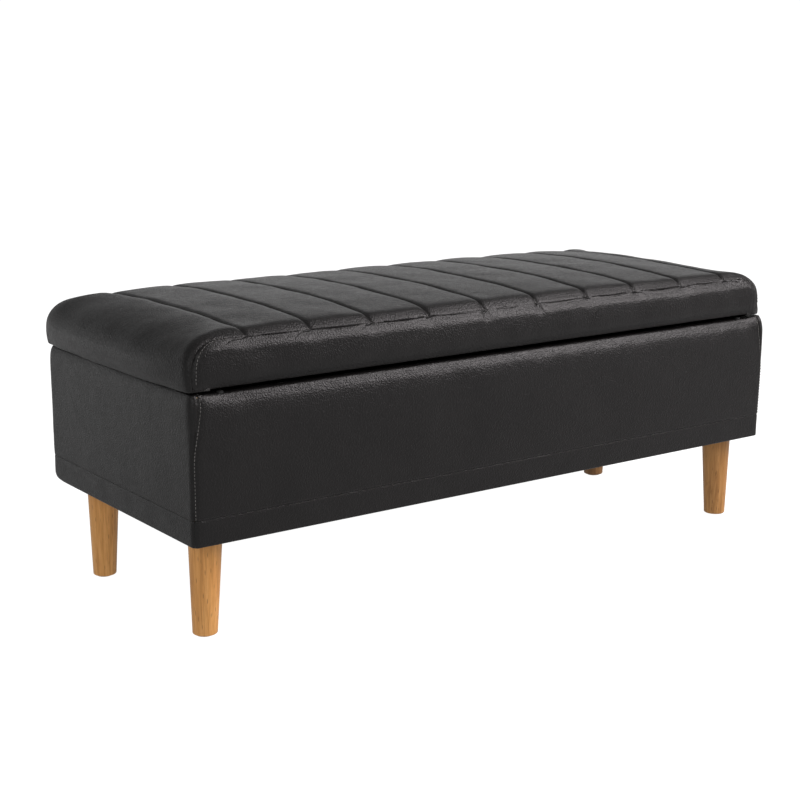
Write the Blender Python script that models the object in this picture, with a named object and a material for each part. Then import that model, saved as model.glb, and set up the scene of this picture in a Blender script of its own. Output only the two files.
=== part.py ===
"""Storage bench: an upholstered box on four turned legs, with a padded lid on two friction hinges.

Metres. +X runs along the bench, +Y to its back and +Z up; the origin is on the floor under its middle.
Every sub-part is one closed solid in an object of its own, and neighbours keep a hair's gap.
"""

import math

import bmesh
import bpy
from mathutils import Matrix, Vector

# Driving dimensions
LENGTH = 1.150
DEPTH = 0.4794
BOX_BOTTOM = 0.150
HALF_X = LENGTH / 2
HALF_Y = DEPTH / 2
JOINT_Z = 0.371
JOINT_GAP = 0.003
GAP = 0.0003
SLIVER = 0.0004  # the shortest edge and thinnest face kept after a Boolean

# Box
RIM_Z = JOINT_Z - JOINT_GAP / 2
FRONT_CORNER = 0.010
REAR_CORNER = 0.019
COVER = 0.0045
BOARD = 0.015
BOARD_TOP = RIM_Z - COVER
BOARD_BOTTOM = BOX_BOTTOM + 0.0025
BASE_BOARD = 0.012
BASE_TOP = BOARD_BOTTOM + BASE_BOARD
RIM_ROUNDING = 0.008
RIM_INNER_ROUNDING = 0.002
FLANGE = 0.002
FLANGE_DROP = 0.0295
HEM_SEAM_Z = 0.190
HEM_ROUNDING = 0.006
HEM_TURN_UNDER = 0.020
HEM_UNDER = 0.0022
REAR_SEAM_INSET = 0.035
BATTEN = 0.020
LINING = 0.0012
DUST_COVER = 0.001

# Lid: (inset from the plan outline, height) from the bottom edge up to the crown
LID_BOTTOM = JOINT_Z + JOINT_GAP / 2
LID_CORNER = 0.014
LID_CORNER_GROWTH = 0.6
LID_SECTION = (
    (0.0060, LID_BOTTOM),
    (0.0025, 0.3745),
    (0.0006, 0.3785),
    (0.0000, 0.3840),
    (0.0000, 0.3950),
    (0.0018, 0.4040),
    (0.0040, 0.4120),
    (0.0090, 0.4240),
    (0.0155, 0.4330),
    (0.0240, 0.4395),
    (0.0400, 0.4440),
    (0.0700, 0.4490),
    (0.1100, 0.4530),
    (0.1600, 0.4560),
    (0.2000, 0.4570),
)
LID_COVER = 0.0050
LID_BOARD = 0.012
LID_BOARD_INSET = 0.006
LID_TURN_UNDER = 0.028
LID_LIP = 0.0023
LID_CAVITY_INSET = 0.005
BOXING_DEPTH = 0.0190

# Legs and their hardware
LEG_TOP_RADIUS = 0.0255
LEG_FOOT_RADIUS = 0.0188
LEG_END_INSET = 0.0426
LEG_FRONT_INSET = 0.054
LEG_REAR_INSET = 0.094
GLIDE_RADIUS = 0.012
GLIDE_HEIGHT = 0.002
PLATE = 0.056
PLATE_THICKNESS = 0.0022
PLATE_CORNER = 0.006
LEG_TOP = BOX_BOTTOM - PLATE_THICKNESS - 2 * GAP
BOLT_RADIUS = 0.0038
BOLT_BORE = BOLT_RADIUS + GAP
BOLT_IN_LEG = 0.034
BOLT_TOP = BASE_TOP - 0.001
BOARD_HOLE = 0.0045

# Hinges
HINGE_X = 0.340
HINGE_LENGTH = 0.060
PIVOT_Y = HALF_Y - 0.003
KNUCKLE_RADIUS = 0.0025
PIN_RADIUS = 0.0012
PIN_CLEARANCE = 0.0001
LEAF = 0.001
LEAF_FRONT_Y = 0.2185
LEAF_OFFSET = 0.0002
KNUCKLE_SHARE = 1 / 3

BUMPER_RADIUS = 0.005
ARC_STEPS = 6
ROUND_STEPS = 28
SMOOTH_ANGLE = math.radians(35)

# Corner of the plan: (side in X, side in Y, angle where its arc begins, going anticlockwise from above)
CORNERS = {
    "front_left": (-1, -1, math.pi),
    "front_right": (1, -1, 1.5 * math.pi),
    "rear_right": (1, 1, 0.0),
    "rear_left": (-1, 1, 0.5 * math.pi),
}
SIDES = {"left": -1, "right": 1}
ENDS = {"front": -1, "rear": 1}

MATERIALS = {
    "faux_leather": ((0.030, 0.028, 0.028), 0.42, 0.0),
    "leg_wood": ((0.560, 0.300, 0.120), 0.45, 0.0),
    "board": ((0.480, 0.340, 0.210), 0.70, 0.0),
    "foam": ((0.780, 0.720, 0.520), 0.90, 0.0),
    "lining": ((0.022, 0.022, 0.024), 0.85, 0.0),
    "steel": ((0.420, 0.420, 0.430), 0.35, 1.0),
    "plastic": ((0.040, 0.040, 0.042), 0.55, 0.0),
    "rubber": ((0.030, 0.030, 0.030), 0.80, 0.0),
}


def clear_scene():
    for thing in list(bpy.data.objects):
        bpy.data.objects.remove(thing, do_unlink=True)


def material(name):
    found = bpy.data.materials.get(name)
    if found:
        return found
    colour, roughness, metallic = MATERIALS[name]
    made = bpy.data.materials.new(name)
    made.use_nodes = True
    shader = made.node_tree.nodes["Principled BSDF"]
    shader.inputs["Base Color"].default_value = (*colour, 1.0)
    shader.inputs["Roughness"].default_value = roughness
    shader.inputs["Metallic"].default_value = metallic
    return made


def make_object(name, mesh_builder, finish):
    """Turns a finished bmesh into a named, smooth-shaded object."""
    bmesh.ops.remove_doubles(mesh_builder, verts=mesh_builder.verts, dist=1e-6)
    bmesh.ops.recalc_face_normals(mesh_builder, faces=mesh_builder.faces)
    mesh = bpy.data.meshes.new(name)
    mesh_builder.to_mesh(mesh)
    mesh_builder.free()
    mesh.shade_smooth()
    mesh.set_sharp_from_angle(angle=SMOOTH_ANGLE)
    mesh.materials.append(material(finish))
    made = bpy.data.objects.new(name, mesh)
    bpy.context.scene.collection.objects.link(made)
    return made


def combine(target, tool, operation):
    """Applies an exact Boolean of tool to target, and removes tool."""
    modifier = target.modifiers.new(operation.lower(), "BOOLEAN")
    modifier.object = tool
    modifier.operation = operation
    modifier.solver = "EXACT"
    depsgraph = bpy.context.evaluated_depsgraph_get()
    result = bpy.data.meshes.new_from_object(target.evaluated_get(depsgraph))
    target.modifiers.clear()
    old = target.data
    target.data = result
    bpy.data.meshes.remove(old)
    bpy.data.objects.remove(tool, do_unlink=True)
    return target


def drop_slivers(target):
    """Takes out the thin faces and short edges that a Boolean leaves where a cut passes close to an edge."""
    bm = bmesh.new()
    bm.from_mesh(target.data)
    bmesh.ops.triangulate(bm, faces=bm.faces)
    bmesh.ops.remove_doubles(bm, verts=bm.verts, dist=SLIVER)
    bmesh.ops.dissolve_degenerate(bm, edges=bm.edges, dist=SLIVER)
    bmesh.ops.triangulate(bm, faces=bm.faces)
    bm.to_mesh(target.data)
    bm.free()


def duplicate(source, name):
    copy = source.copy()
    copy.data = source.data.copy()
    copy.name = name
    bpy.context.scene.collection.objects.link(copy)
    return copy


def loft(name, loops, finish):
    """Closed solid through loops of points of equal length, capped at both ends."""
    builder = bmesh.new()
    rings = [[builder.verts.new(point) for point in loop] for loop in loops]
    count = len(rings[0])
    for lower, upper in zip(rings, rings[1:]):
        for i in range(count):
            j = (i + 1) % count
            builder.faces.new((lower[i], lower[j], upper[j], upper[i]))
    builder.faces.new(list(reversed(rings[0])))
    builder.faces.new(rings[-1])
    return make_object(name, builder, finish)


def prism(name, outline, low, high, finish):
    """Straight extrusion of a plan outline between two heights."""
    return loft(name, [[(x, y, z) for x, y in outline] for z in (low, high)], finish)


def block(name, low, high, finish):
    outline = ((low[0], low[1]), (high[0], low[1]), (high[0], high[1]), (low[0], high[1]))
    return prism(name, outline, low[2], high[2], finish)


def turned(name, profile, centre, finish, axis="Z", steps=ROUND_STEPS):
    """Solid of revolution from (radius, distance along the axis) points; the ends lie on the axis or are capped."""
    builder = bmesh.new()
    rings = []
    for radius, along in profile:
        ring = []
        for i in range(steps):
            angle = 2 * math.pi * i / steps
            ring.append(builder.verts.new((radius * math.cos(angle), radius * math.sin(angle), along)))
        rings.append(ring)
    for lower, upper in zip(rings, rings[1:]):
        for i in range(steps):
            j = (i + 1) % steps
            builder.faces.new((lower[i], lower[j], upper[j], upper[i]))
    for ring in (rings[0], rings[-1]):
        builder.faces.new(ring)
    if axis == "X":
        builder.transform(Matrix.Rotation(math.pi / 2, 4, "Y"))
    builder.transform(Matrix.Translation(Vector(centre)))
    return make_object(name, builder, finish)


def corner_point(corner, angle, inset, radius, half=(HALF_X, HALF_Y)):
    """Point of a rounded corner of the plan, at an angle, moved inwards by inset."""
    side_x, side_y, _ = CORNERS[corner]
    rounding = max(radius - inset, 0.0)
    x = side_x * (half[0] - inset - rounding) + rounding * math.cos(angle)
    y = side_y * (half[1] - inset - rounding) + rounding * math.sin(angle)
    return x, y


def corner_radius(corner):
    return FRONT_CORNER if corner.startswith("front") else REAR_CORNER


def arc_stations(corner, first, last, steps):
    """Stations round one corner, from share first to share last of its quarter turn."""
    start = CORNERS[corner][2]
    stations = []
    for i in range(steps + 1):
        angle = start + (first + (last - first) * i / steps) * math.pi / 2
        stations.append((corner, angle))
    return stations


def station_point(station, inset, seams):
    """Plan point of a station; seams gives the corners that end in a mitre, and how far the panel stands off it."""
    corner, angle = station
    radius = corner_radius(corner)
    x, y = corner_point(corner, angle, inset, radius)
    mitre = CORNERS[corner][2] + math.pi / 4
    if corner in seams and (inset >= radius or abs(angle - mitre) < 1e-6):
        x -= seams[corner] * math.sin(mitre)
        y += seams[corner] * math.cos(mitre)
    return x, y


def station_rows(builder, stations, section, seams):
    return [[builder.verts.new((*station_point(station, inset, seams), z)) for inset, z in section] for station in stations]


def rear_panel(name, section, finish):
    """Rear panel, flat between the two ends' returns."""
    builder = bmesh.new()
    reach = HALF_X - REAR_SEAM_INSET - GAP / 2
    rows = [[builder.verts.new((x, HALF_Y - inset, z)) for inset, z in section] for x in (reach, -reach)]
    return skin_rows(name, builder, rows, finish)


def skin_rows(name, builder, rows, finish):
    count = len(rows[0])
    for lower, upper in zip(rows, rows[1:]):
        for i in range(count):
            j = (i + 1) % count
            builder.faces.new((lower[i], lower[j], upper[j], upper[i]))
    builder.faces.new(rows[0])
    builder.faces.new(list(reversed(rows[-1])))
    bmesh.ops.remove_doubles(builder, verts=builder.verts, dist=1e-6)
    bmesh.ops.dissolve_degenerate(builder, edges=builder.edges, dist=1e-6)
    return make_object(name, builder, finish)


def arc(centre, radius, first, last, steps=ARC_STEPS):
    """Points of an arc in a section; the angles are in degrees."""
    points = []
    for i in range(steps + 1):
        angle = math.radians(first + (last - first) * i / steps)
        points.append((centre[0] + radius * math.cos(angle), centre[1] + radius * math.sin(angle)))
    return points


def cover_section():
    """Padded skin: up the outside, over the board's top and a short way down the inside."""
    inner = COVER + GAP + BOARD + GAP
    outer = arc((RIM_ROUNDING, RIM_Z - RIM_ROUNDING), RIM_ROUNDING, 180, 90)
    lip_centre = (inner + FLANGE - RIM_INNER_ROUNDING, RIM_Z - RIM_INNER_ROUNDING)
    lip = arc(lip_centre, RIM_INNER_ROUNDING, 90, 0, 3)
    flange_bottom = RIM_Z - FLANGE_DROP
    underside = BOARD_TOP + GAP
    inside = [(inner + FLANGE, flange_bottom), (inner, flange_bottom), (inner, underside), (COVER, underside)]
    foot = HEM_SEAM_Z + GAP / 2
    return [(0.0, foot), *outer, *lip, *inside, (COVER, foot)]


def hem_section():
    """Lower band: down the outside and a short way under the box."""
    top = HEM_SEAM_Z - GAP / 2
    under = BOX_BOTTOM + HEM_UNDER
    turn = arc((HEM_ROUNDING, BOX_BOTTOM + HEM_ROUNDING), HEM_ROUNDING, 180, 270, 4)
    inner_edge = [(HEM_TURN_UNDER, BOX_BOTTOM), (HEM_TURN_UNDER, under), (COVER, under), (COVER, top)]
    return [(0.0, top), *turn, *inner_edge]


def end_stations(side):
    """From the seam on the front corner round the whole end to the seam on the back, or the mirror of that."""
    if side == "left":
        return arc_stations("rear_left", 0.0, 1.0, ARC_STEPS) + arc_stations("front_left", 0.0, 0.5, 3)
    return arc_stations("front_right", 0.5, 1.0, 3) + arc_stations("rear_right", 0.0, 1.0, ARC_STEPS)


def end_panel(name, side, section, finish):
    """End panel with its return on the back, which ends in a plane square to the back."""
    sign = SIDES[side]
    builder = bmesh.new()
    rows = station_rows(builder, end_stations(side), section, {f"front_{side}": sign * GAP / 2})
    edge_x = sign * (HALF_X - REAR_SEAM_INSET + GAP / 2)
    back = [builder.verts.new((edge_x, HALF_Y - inset, z)) for inset, z in section]
    rows = [back, *rows] if side == "left" else [*rows, back]
    return skin_rows(name, builder, rows, finish)


def front_panel(name, section, finish):
    """Front panel, mitred into the ends along both front corners."""
    builder = bmesh.new()
    stations = arc_stations("front_left", 0.5, 1.0, 3) + arc_stations("front_right", 0.0, 0.5, 3)
    seams = {"front_left": GAP / 2, "front_right": -GAP / 2}
    return skin_rows(name, builder, station_rows(builder, stations, section, seams), finish)


def make_upholstery(kind, section):
    front_panel(f"front_{kind}", section, "faux_leather")
    rear_panel(f"rear_{kind}", section, "faux_leather")
    for side in SIDES:
        end_panel(f"{side}_end_{kind}", side, section, "faux_leather")


def board_outline(side):
    """Plan of an end board, with its outer corners rounded under the cover."""
    inset = COVER + GAP
    inner_x = SIDES[side] * (HALF_X - inset - BOARD)
    corners = ("rear_left", "front_left") if side == "left" else ("front_right", "rear_right")
    outline = []
    for corner in corners:
        for _, angle in arc_stations(corner, 0.0, 1.0, ARC_STEPS):
            outline.append(corner_point(corner, angle, inset, corner_radius(corner)))
    outline.append((inner_x, outline[-1][1]))
    outline.append((inner_x, outline[0][1]))
    return outline


def make_boards():
    for side in SIDES:
        prism(f"{side}_end_board", board_outline(side), BOARD_BOTTOM, BOARD_TOP, "board")
    reach = HALF_X - COVER - BOARD - 2 * GAP
    outer = HALF_Y - COVER - GAP
    inner = outer - BOARD
    block("front_board", (-reach, -outer, BOARD_BOTTOM), (reach, -inner, BOARD_TOP), "board")
    block("rear_board", (-reach, inner, BOARD_BOTTOM), (reach, outer, BOARD_TOP), "board")
    half_y = inner - GAP
    base = block("bottom_board", (-reach, -half_y, BOARD_BOTTOM), (reach, half_y, BASE_TOP), "board")
    for _, x, y in leg_places():
        hole = turned("hole", ((BOARD_HOLE, 0.14), (BOARD_HOLE, 0.18)), (x, y, 0), "board")
        combine(base, hole, "DIFFERENCE")


def inner_half():
    """Half sizes of the compartment between the bare boards."""
    inset = COVER + BOARD + 2 * GAP
    return HALF_X - inset, HALF_Y - inset


def make_battens():
    half_x, half_y = inner_half()
    low = BASE_TOP + GAP
    high = RIM_Z - FLANGE_DROP - 0.002
    for end, side_y in ENDS.items():
        for side, side_x in SIDES.items():
            xs = sorted((side_x * half_x, side_x * (half_x - BATTEN)))
            ys = sorted((side_y * half_y, side_y * (half_y - BATTEN)))
            block(f"corner_batten_{end}_{side}", (xs[0], ys[0], low), (xs[1], ys[1], high), "board")


def notched(inset):
    """Plan of the compartment inside the battens, moved inwards by inset."""
    half_x, half_y = inner_half()
    half_x -= inset
    half_y -= inset
    notch = BATTEN + GAP
    outline = []
    for side_x, side_y, along_first in ((-1, -1, False), (1, -1, True), (1, 1, False), (-1, 1, True)):
        on_x = (side_x * (half_x - notch), side_y * half_y)
        corner = (side_x * (half_x - notch), side_y * (half_y - notch))
        on_y = (side_x * half_x, side_y * (half_y - notch))
        outline += [on_x, corner, on_y] if along_first else [on_y, corner, on_x]
    return outline


def make_lining():
    floor_low = BASE_TOP + GAP
    floor_top = floor_low + LINING
    prism("lining_floor", notched(GAP), floor_low, floor_top, "lining")
    low = floor_top + GAP
    high = RIM_Z - FLANGE_DROP - GAP
    outer, inner = notched(GAP), notched(GAP + LINING)
    loops = [
        [(x, y, low) for x, y in outer],
        [(x, y, high) for x, y in outer],
        [(x, y, high) for x, y in inner],
        [(x, y, low) for x, y in inner],
    ]
    builder = bmesh.new()
    rings = [[builder.verts.new(point) for point in loop] for loop in loops]
    count = len(rings[0])
    for ring, following in zip(rings, rings[1:] + rings[:1]):
        for i in range(count):
            j = (i + 1) % count
            builder.faces.new((ring[i], ring[j], following[j], following[i]))
    make_object("lining_walls", builder, "lining")


def make_dust_cover():
    inset = HEM_TURN_UNDER + GAP
    low = BOARD_BOTTOM - GAP - DUST_COVER
    sheet = block(
        "dust_cover",
        (-HALF_X + inset, -HALF_Y + inset, low),
        (HALF_X - inset, HALF_Y - inset, low + DUST_COVER),
        "lining",
    )
    for _, x, y in leg_places():
        hole = turned("hole", ((BOARD_HOLE, 0.14), (BOARD_HOLE, 0.18)), (x, y, 0), "lining")
        combine(sheet, hole, "DIFFERENCE")


def leg_places():
    places = []
    for end, side_y in ENDS.items():
        y = side_y * (HALF_Y - (LEG_FRONT_INSET if end == "front" else LEG_REAR_INSET))
        for side, side_x in SIDES.items():
            places.append((f"{end}_{side}", side_x * (HALF_X - LEG_END_INSET), y))
    return places


def leg_profile():
    """Tapered leg with an eased foot and a blind bore for its bolt."""
    foot = GLIDE_HEIGHT + GAP
    ease = 0.0022
    return (
        (LEG_FOOT_RADIUS - ease, foot),
        (LEG_FOOT_RADIUS - 0.3 * ease, foot + 0.3 * ease),
        (LEG_FOOT_RADIUS, foot + ease),
        (LEG_TOP_RADIUS - 0.0005, LEG_TOP - 0.0008),
        (LEG_TOP_RADIUS - 0.0013, LEG_TOP),
        (BOLT_BORE, LEG_TOP),
        (BOLT_BORE, LEG_TOP - BOLT_IN_LEG - GAP),
    )


def make_plate(name, x, y):
    centre_z = BOX_BOTTOM - GAP - PLATE_THICKNESS
    half = PLATE / 2
    outline = []
    for side_x, side_y, start in CORNERS.values():
        centre = (x + side_x * (half - PLATE_CORNER), y + side_y * (half - PLATE_CORNER))
        outline += arc(centre, PLATE_CORNER, math.degrees(start), math.degrees(start) + 90, 4)
    plate = prism(name, outline, centre_z, centre_z + PLATE_THICKNESS, "steel")
    hole = turned("hole", ((BOLT_BORE, 0.14), (BOLT_BORE, 0.16)), (x, y, 0), "steel")
    combine(plate, hole, "DIFFERENCE")


def make_legs():
    low = LEG_TOP - BOLT_IN_LEG
    tip = 0.001
    for place, x, y in leg_places():
        turned(f"leg_{place}", leg_profile(), (x, y, 0), "leg_wood")
        glide = ((GLIDE_RADIUS, 0.0), (GLIDE_RADIUS, GLIDE_HEIGHT))
        turned(f"leg_glide_{place}", glide, (x, y, 0), "plastic", steps=20)
        make_plate(f"leg_plate_{place}", x, y)
        bolt = (
            (BOLT_RADIUS - tip, low),
            (BOLT_RADIUS, low + tip),
            (BOLT_RADIUS, BOLT_TOP - tip),
            (BOLT_RADIUS - tip, BOLT_TOP),
        )
        turned(f"leg_bolt_{place}", bolt, (x, y, 0), "steel", steps=20)


def lid_loop(inset, z):
    """Rounded rectangle of the lid at one height; its corners grow rounder towards the crown."""
    radius = LID_CORNER + LID_CORNER_GROWTH * inset
    points = []
    for corner in CORNERS:
        for _, angle in arc_stations(corner, 0.0, 1.0, ARC_STEPS):
            x, y = corner_point(corner, angle, 0.0, radius, (HALF_X - inset, HALF_Y - inset))
            points.append((x, y, z))
    return points


def lid_form(name, thinner, lowest, finish):
    """The lid's padded form, thinner all round, from a flat underside at height lowest."""
    levels = [(inset + thinner, z - thinner) for inset, z in LID_SECTION if z - thinner > lowest + 0.001]
    first = levels[0][0]
    loops = [lid_loop(first, lowest)] + [lid_loop(inset, z) for inset, z in levels]
    return loft(name, loops, finish)


def boxing_tool(name, end, grow):
    """Wedge that holds the front or back boxing; grow makes it larger than the boxing by the seam's gap."""
    side = ENDS[end]
    reach = 0.08
    seam = BOXING_DEPTH + grow
    far = (HALF_X + reach + grow, side * (HALF_Y + reach))
    near = (HALF_X - BOXING_DEPTH + grow, side * (HALF_Y - seam))
    outline = [(-far[0], far[1]), (far[0], far[1]), near, (-near[0], near[1])]
    if side > 0:
        outline.reverse()
    return prism(name, outline, LID_BOTTOM - 0.02, 0.50, "faux_leather")


def make_lid_cover():
    """Leather shell, turned under the board's edge: down its inside from the crown, under the lip, and up its outside."""
    lip = LID_BOTTOM + LID_LIP
    inside = [(inset + LID_COVER, z - LID_COVER) for inset, z in LID_SECTION if z - LID_COVER > lip + 0.002]
    turn_under = [(LID_CAVITY_INSET, lip), (LID_TURN_UNDER, lip), (LID_TURN_UNDER, LID_BOTTOM)]
    section = [*reversed(inside), *turn_under, *LID_SECTION]
    shell = loft("lid_top_cover", [lid_loop(inset, z) for inset, z in section], "faux_leather")
    for end in ENDS:
        boxing = duplicate(shell, f"lid_{end}_boxing")
        combine(boxing, boxing_tool("tool", end, 0.0), "INTERSECT")
    for end in ENDS:
        combine(shell, boxing_tool("tool", end, GAP), "DIFFERENCE")
    drop_slivers(shell)


def make_lid():
    board_low = LID_BOTTOM + LID_LIP + GAP
    board_top = board_low + LID_BOARD
    board = [lid_loop(LID_BOARD_INSET, z) for z in (board_low, board_top)]
    loft("lid_board", board, "board")
    lid_form("seat_foam", LID_COVER + 2 * GAP, board_top + GAP, "foam")
    sheet_low = LID_BOTTOM + GAP
    sheet = [lid_loop(LID_TURN_UNDER + 2 * GAP, z) for z in (sheet_low, sheet_low + LINING)]
    loft("lid_lining", sheet, "lining")
    make_lid_cover()


def knuckle_spans(x, own):
    """X spans of the outer knuckles, on the box's leaf, or of the middle one, on the lid's leaf."""
    half = HINGE_LENGTH / 2
    middle = HINGE_LENGTH * KNUCKLE_SHARE / 2
    if own == "lid":
        return [(x - middle + GAP, x + middle - GAP)]
    return [(x - half, x - middle - GAP), (x + middle + GAP, x + half)]


def make_leaf(name, x, own):
    """One leaf with its knuckles, bored for the pin."""
    half = HINGE_LENGTH / 2
    side = 1 if own == "lid" else -1
    flat = sorted((JOINT_Z + side * LEAF_OFFSET, JOINT_Z + side * (LEAF_OFFSET + LEAF)))
    rear_edge = PIVOT_Y - KNUCKLE_RADIUS - 2 * GAP
    leaf = block(name, (x - half, LEAF_FRONT_Y, flat[0]), (x + half, rear_edge, flat[1]), "steel")
    for first, last in knuckle_spans(x, own):
        tab = block("tab", (first, rear_edge - 0.001, flat[0]), (last, PIVOT_Y, flat[1]), "steel")
        combine(leaf, tab, "UNION")
        length = last - first
        knuckle = turned(
            "knuckle",
            ((KNUCKLE_RADIUS, 0), (KNUCKLE_RADIUS, length)),
            (first, PIVOT_Y, JOINT_Z),
            "steel",
            axis="X",
            steps=24,
        )
        combine(leaf, knuckle, "UNION")
    bore_radius = PIN_RADIUS + PIN_CLEARANCE
    bore = turned(
        "bore", ((bore_radius, -0.01), (bore_radius, HINGE_LENGTH + 0.01)), (x - half, PIVOT_Y, JOINT_Z), "steel",
        axis="X", steps=24,
    )
    combine(leaf, bore, "DIFFERENCE")


def make_hinges():
    for side, sign in SIDES.items():
        x = sign * HINGE_X
        make_leaf(f"hinge_box_leaf_{side}", x, "box")
        make_leaf(f"hinge_lid_leaf_{side}", x, "lid")
        pin = ((PIN_RADIUS, 0.0), (PIN_RADIUS, HINGE_LENGTH))
        start = (x - HINGE_LENGTH / 2, PIVOT_Y, JOINT_Z)
        turned(f"hinge_pin_{side}", pin, start, "steel", axis="X", steps=24)


def make_bumpers():
    """Rubber buttons on the rim, which the closed lid rests on."""
    inset = 0.0135
    low = RIM_Z + GAP
    profile = ((BUMPER_RADIUS, 0.0), (BUMPER_RADIUS, JOINT_GAP - 3 * GAP), (BUMPER_RADIUS - 0.0008, JOINT_GAP - 2 * GAP))
    places = {
        "front_left": (-HALF_X + 0.055, -HALF_Y + inset),
        "front_right": (HALF_X - 0.055, -HALF_Y + inset),
        "rear_left": (-HALF_X + inset, HALF_Y - 0.060),
        "rear_right": (HALF_X - inset, HALF_Y - 0.060),
    }
    for place, (x, y) in places.items():
        turned(f"rim_bumper_{place}", profile, (x, y, low), "rubber", steps=20)


def put_lid_on_its_axis():
    """Every piece of the lid hangs from an empty on the hinge axis."""
    pivot = bpy.data.objects.new("lid_pivot", None)
    pivot.location = (0.0, PIVOT_Y, JOINT_Z)
    bpy.context.scene.collection.objects.link(pivot)
    bpy.context.view_layer.update()
    for thing in bpy.data.objects:
        if thing.name.startswith(("lid_", "seat_", "hinge_lid_")) and thing is not pivot:
            thing.parent = pivot
            thing.matrix_parent_inverse = pivot.matrix_world.inverted()


def main():
    clear_scene()
    make_boards()
    make_battens()
    make_upholstery("cover", cover_section())
    make_upholstery("hem", hem_section())
    make_lining()
    make_dust_cover()
    make_legs()
    make_bumpers()
    make_lid()
    make_hinges()
    put_lid_on_its_axis()


main()
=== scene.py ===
"""Storage bench: channel-stitched faux-leather lid on an upholstered box with turned wooden legs.

Looks only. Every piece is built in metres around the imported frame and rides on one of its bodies.
"""
import contextlib
import math

import bmesh
import bpy
import numpy as np
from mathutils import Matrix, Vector


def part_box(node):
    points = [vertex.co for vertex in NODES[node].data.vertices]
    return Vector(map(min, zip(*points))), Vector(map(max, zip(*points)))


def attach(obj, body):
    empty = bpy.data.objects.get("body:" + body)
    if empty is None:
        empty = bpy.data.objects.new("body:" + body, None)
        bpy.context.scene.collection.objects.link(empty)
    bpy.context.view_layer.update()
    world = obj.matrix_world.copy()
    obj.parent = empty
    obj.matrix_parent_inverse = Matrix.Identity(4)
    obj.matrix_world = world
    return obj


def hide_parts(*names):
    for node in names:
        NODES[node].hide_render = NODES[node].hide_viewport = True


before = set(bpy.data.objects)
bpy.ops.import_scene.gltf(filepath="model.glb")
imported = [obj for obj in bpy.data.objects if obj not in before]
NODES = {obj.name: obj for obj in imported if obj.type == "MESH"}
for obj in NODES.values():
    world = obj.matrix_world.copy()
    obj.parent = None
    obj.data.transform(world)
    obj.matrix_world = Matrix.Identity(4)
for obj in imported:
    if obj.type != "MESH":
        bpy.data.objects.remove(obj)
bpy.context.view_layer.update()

# ---- Driving dimensions (metres), taken from the frame where it has them
LEATHER = 0.0012  # thickness of the leather cloth
LINING_CLOTH = 0.0008

LID_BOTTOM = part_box("lid_top_cover")[0].z
HALF_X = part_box("right_end_cover")[1].x
HALF_Y = -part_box("front_cover")[0].y
RIM_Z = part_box("front_cover")[1].z
BOX_BOTTOM, HEM_SEAM_Z = (corner.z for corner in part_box("front_hem"))

# Lid
LID_CORNER = 0.014  # plan radius at the lid's corners
CHANNELS = 11
CHANNEL_PITCH = 0.1067
STITCH_LINES = [CHANNEL_PITCH * (i - (CHANNELS - 2) / 2) for i in range(CHANNELS - 1)]
OUTER_LINE = STITCH_LINES[-1]
FRONT_SEAM_Y = 0.2290  # the seams' half depths, where they run along the top
REAR_SEAM_Y = 0.2170
FRONT_SEAM_Z = 0.4385
REAR_SEAM_Z = 0.4392
CREST_Z = 0.4600  # the channels' height half way back
LINE_Z = 0.4570  # a stitch line's height half way back
END_FALL = 0.0035  # how much lower the leather lies where the ends begin to roll
LEFT_SWELL = 0.0150  # how far the stuffed ends stand out past the box
RIGHT_SWELL = 0.0030
UNDER_WIDTH = 0.027  # leather turned under the lid
UNDER_TURN = 0.0030  # radius of the turn at the lid's bottom edge
CORNER_LIFT = 0.0030  # how much higher the top's seams stand at the ends
CREASE_WIDTH = 0.0034  # the thread's own crease at a stitch line
CREASE_DEPTH = 0.0031
CORNER_PULL = 0.0115  # how far the right corners are drawn in where the leather is gathered

# The lid's front and rear bands
BOXING_BULGE = 0.0020
BOXING_TUCK = 0.0150  # how far the band runs in towards its bottom edge
BOXING_TUCK_HEIGHT = 0.0210
BOXING_RAISE = 0.0013
BOXING_ROWS = 42
BOXING_END = 0.105  # length of seam at each end that belongs to the band's side
PUCKER_PITCH = 0.0085

# Box
FRONT_CORNER = 0.010
REAR_CORNER = 0.0205
RIM_WIDTH = 0.0075  # the rim's roll, from the face to its top
RIM_HEIGHT = 0.027
RIM_BEVEL = 0.08  # how much of the rim's roll is a straight slope
RIM_LOWER = 0.0006  # how much lower the rim lies across the whole front
RIM_RELIEF = 0.0035  # how much further it is pulled down and in between the front corners
RIM_FLAT = 0.0195  # insets of the rim's flat top and of its inner face
RIM_INSIDE = 0.0221
RIM_DROP = 0.3405  # the height at which the leather ends inside
REAR_SEAM_X = HALF_X - 0.035
HEM_UNDER = 0.020
SEAM_LEAN = 0.0120  # how far the front corner seams lean at the top of the box
RIGHT_FULLNESS = 0.0030  # how far the right end's leather stands out

# Seams
SEAM_SINK = 0.0012  # how deep the leather dips beside a seam
TOP_SEAM_SINK = 0.00015
HEM_SEAM_SINK = 0.0007
SEAM_REACH = 0.0035  # how far the dip reaches
TURNED_IN = 0.0030  # leather turned in along a seam
SEAM_GAP = 0.0003  # from the hem seam's height to each panel's edge
RAW_EDGE = 0.0022  # leather turned in along the hem seam

# Stitching: pitch, thread thickness and lift
CHANNEL_STITCH = (0.0046, 0.0006, 0.0001)
END_KNOT = (0.0064, 0.0017, 0.0007)
CORNER_STITCH = (0.0052, 0.0008, 0.0003)
HEM_STITCH = (0.0050, 0.0006, 0.0001)
STITCH_FILL = 0.72  # share of the pitch that the thread covers
STITCH_STATIONS = ((-0.5, 0.25), (-0.36, 0.85), (0.0, 1.0), (0.36, 0.85), (0.5, 0.25))  # place, thickness
STITCH_SIDES = 6

FOLD = math.radians(50)  # cloth turned more sharply than this shows a crisp edge


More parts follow.
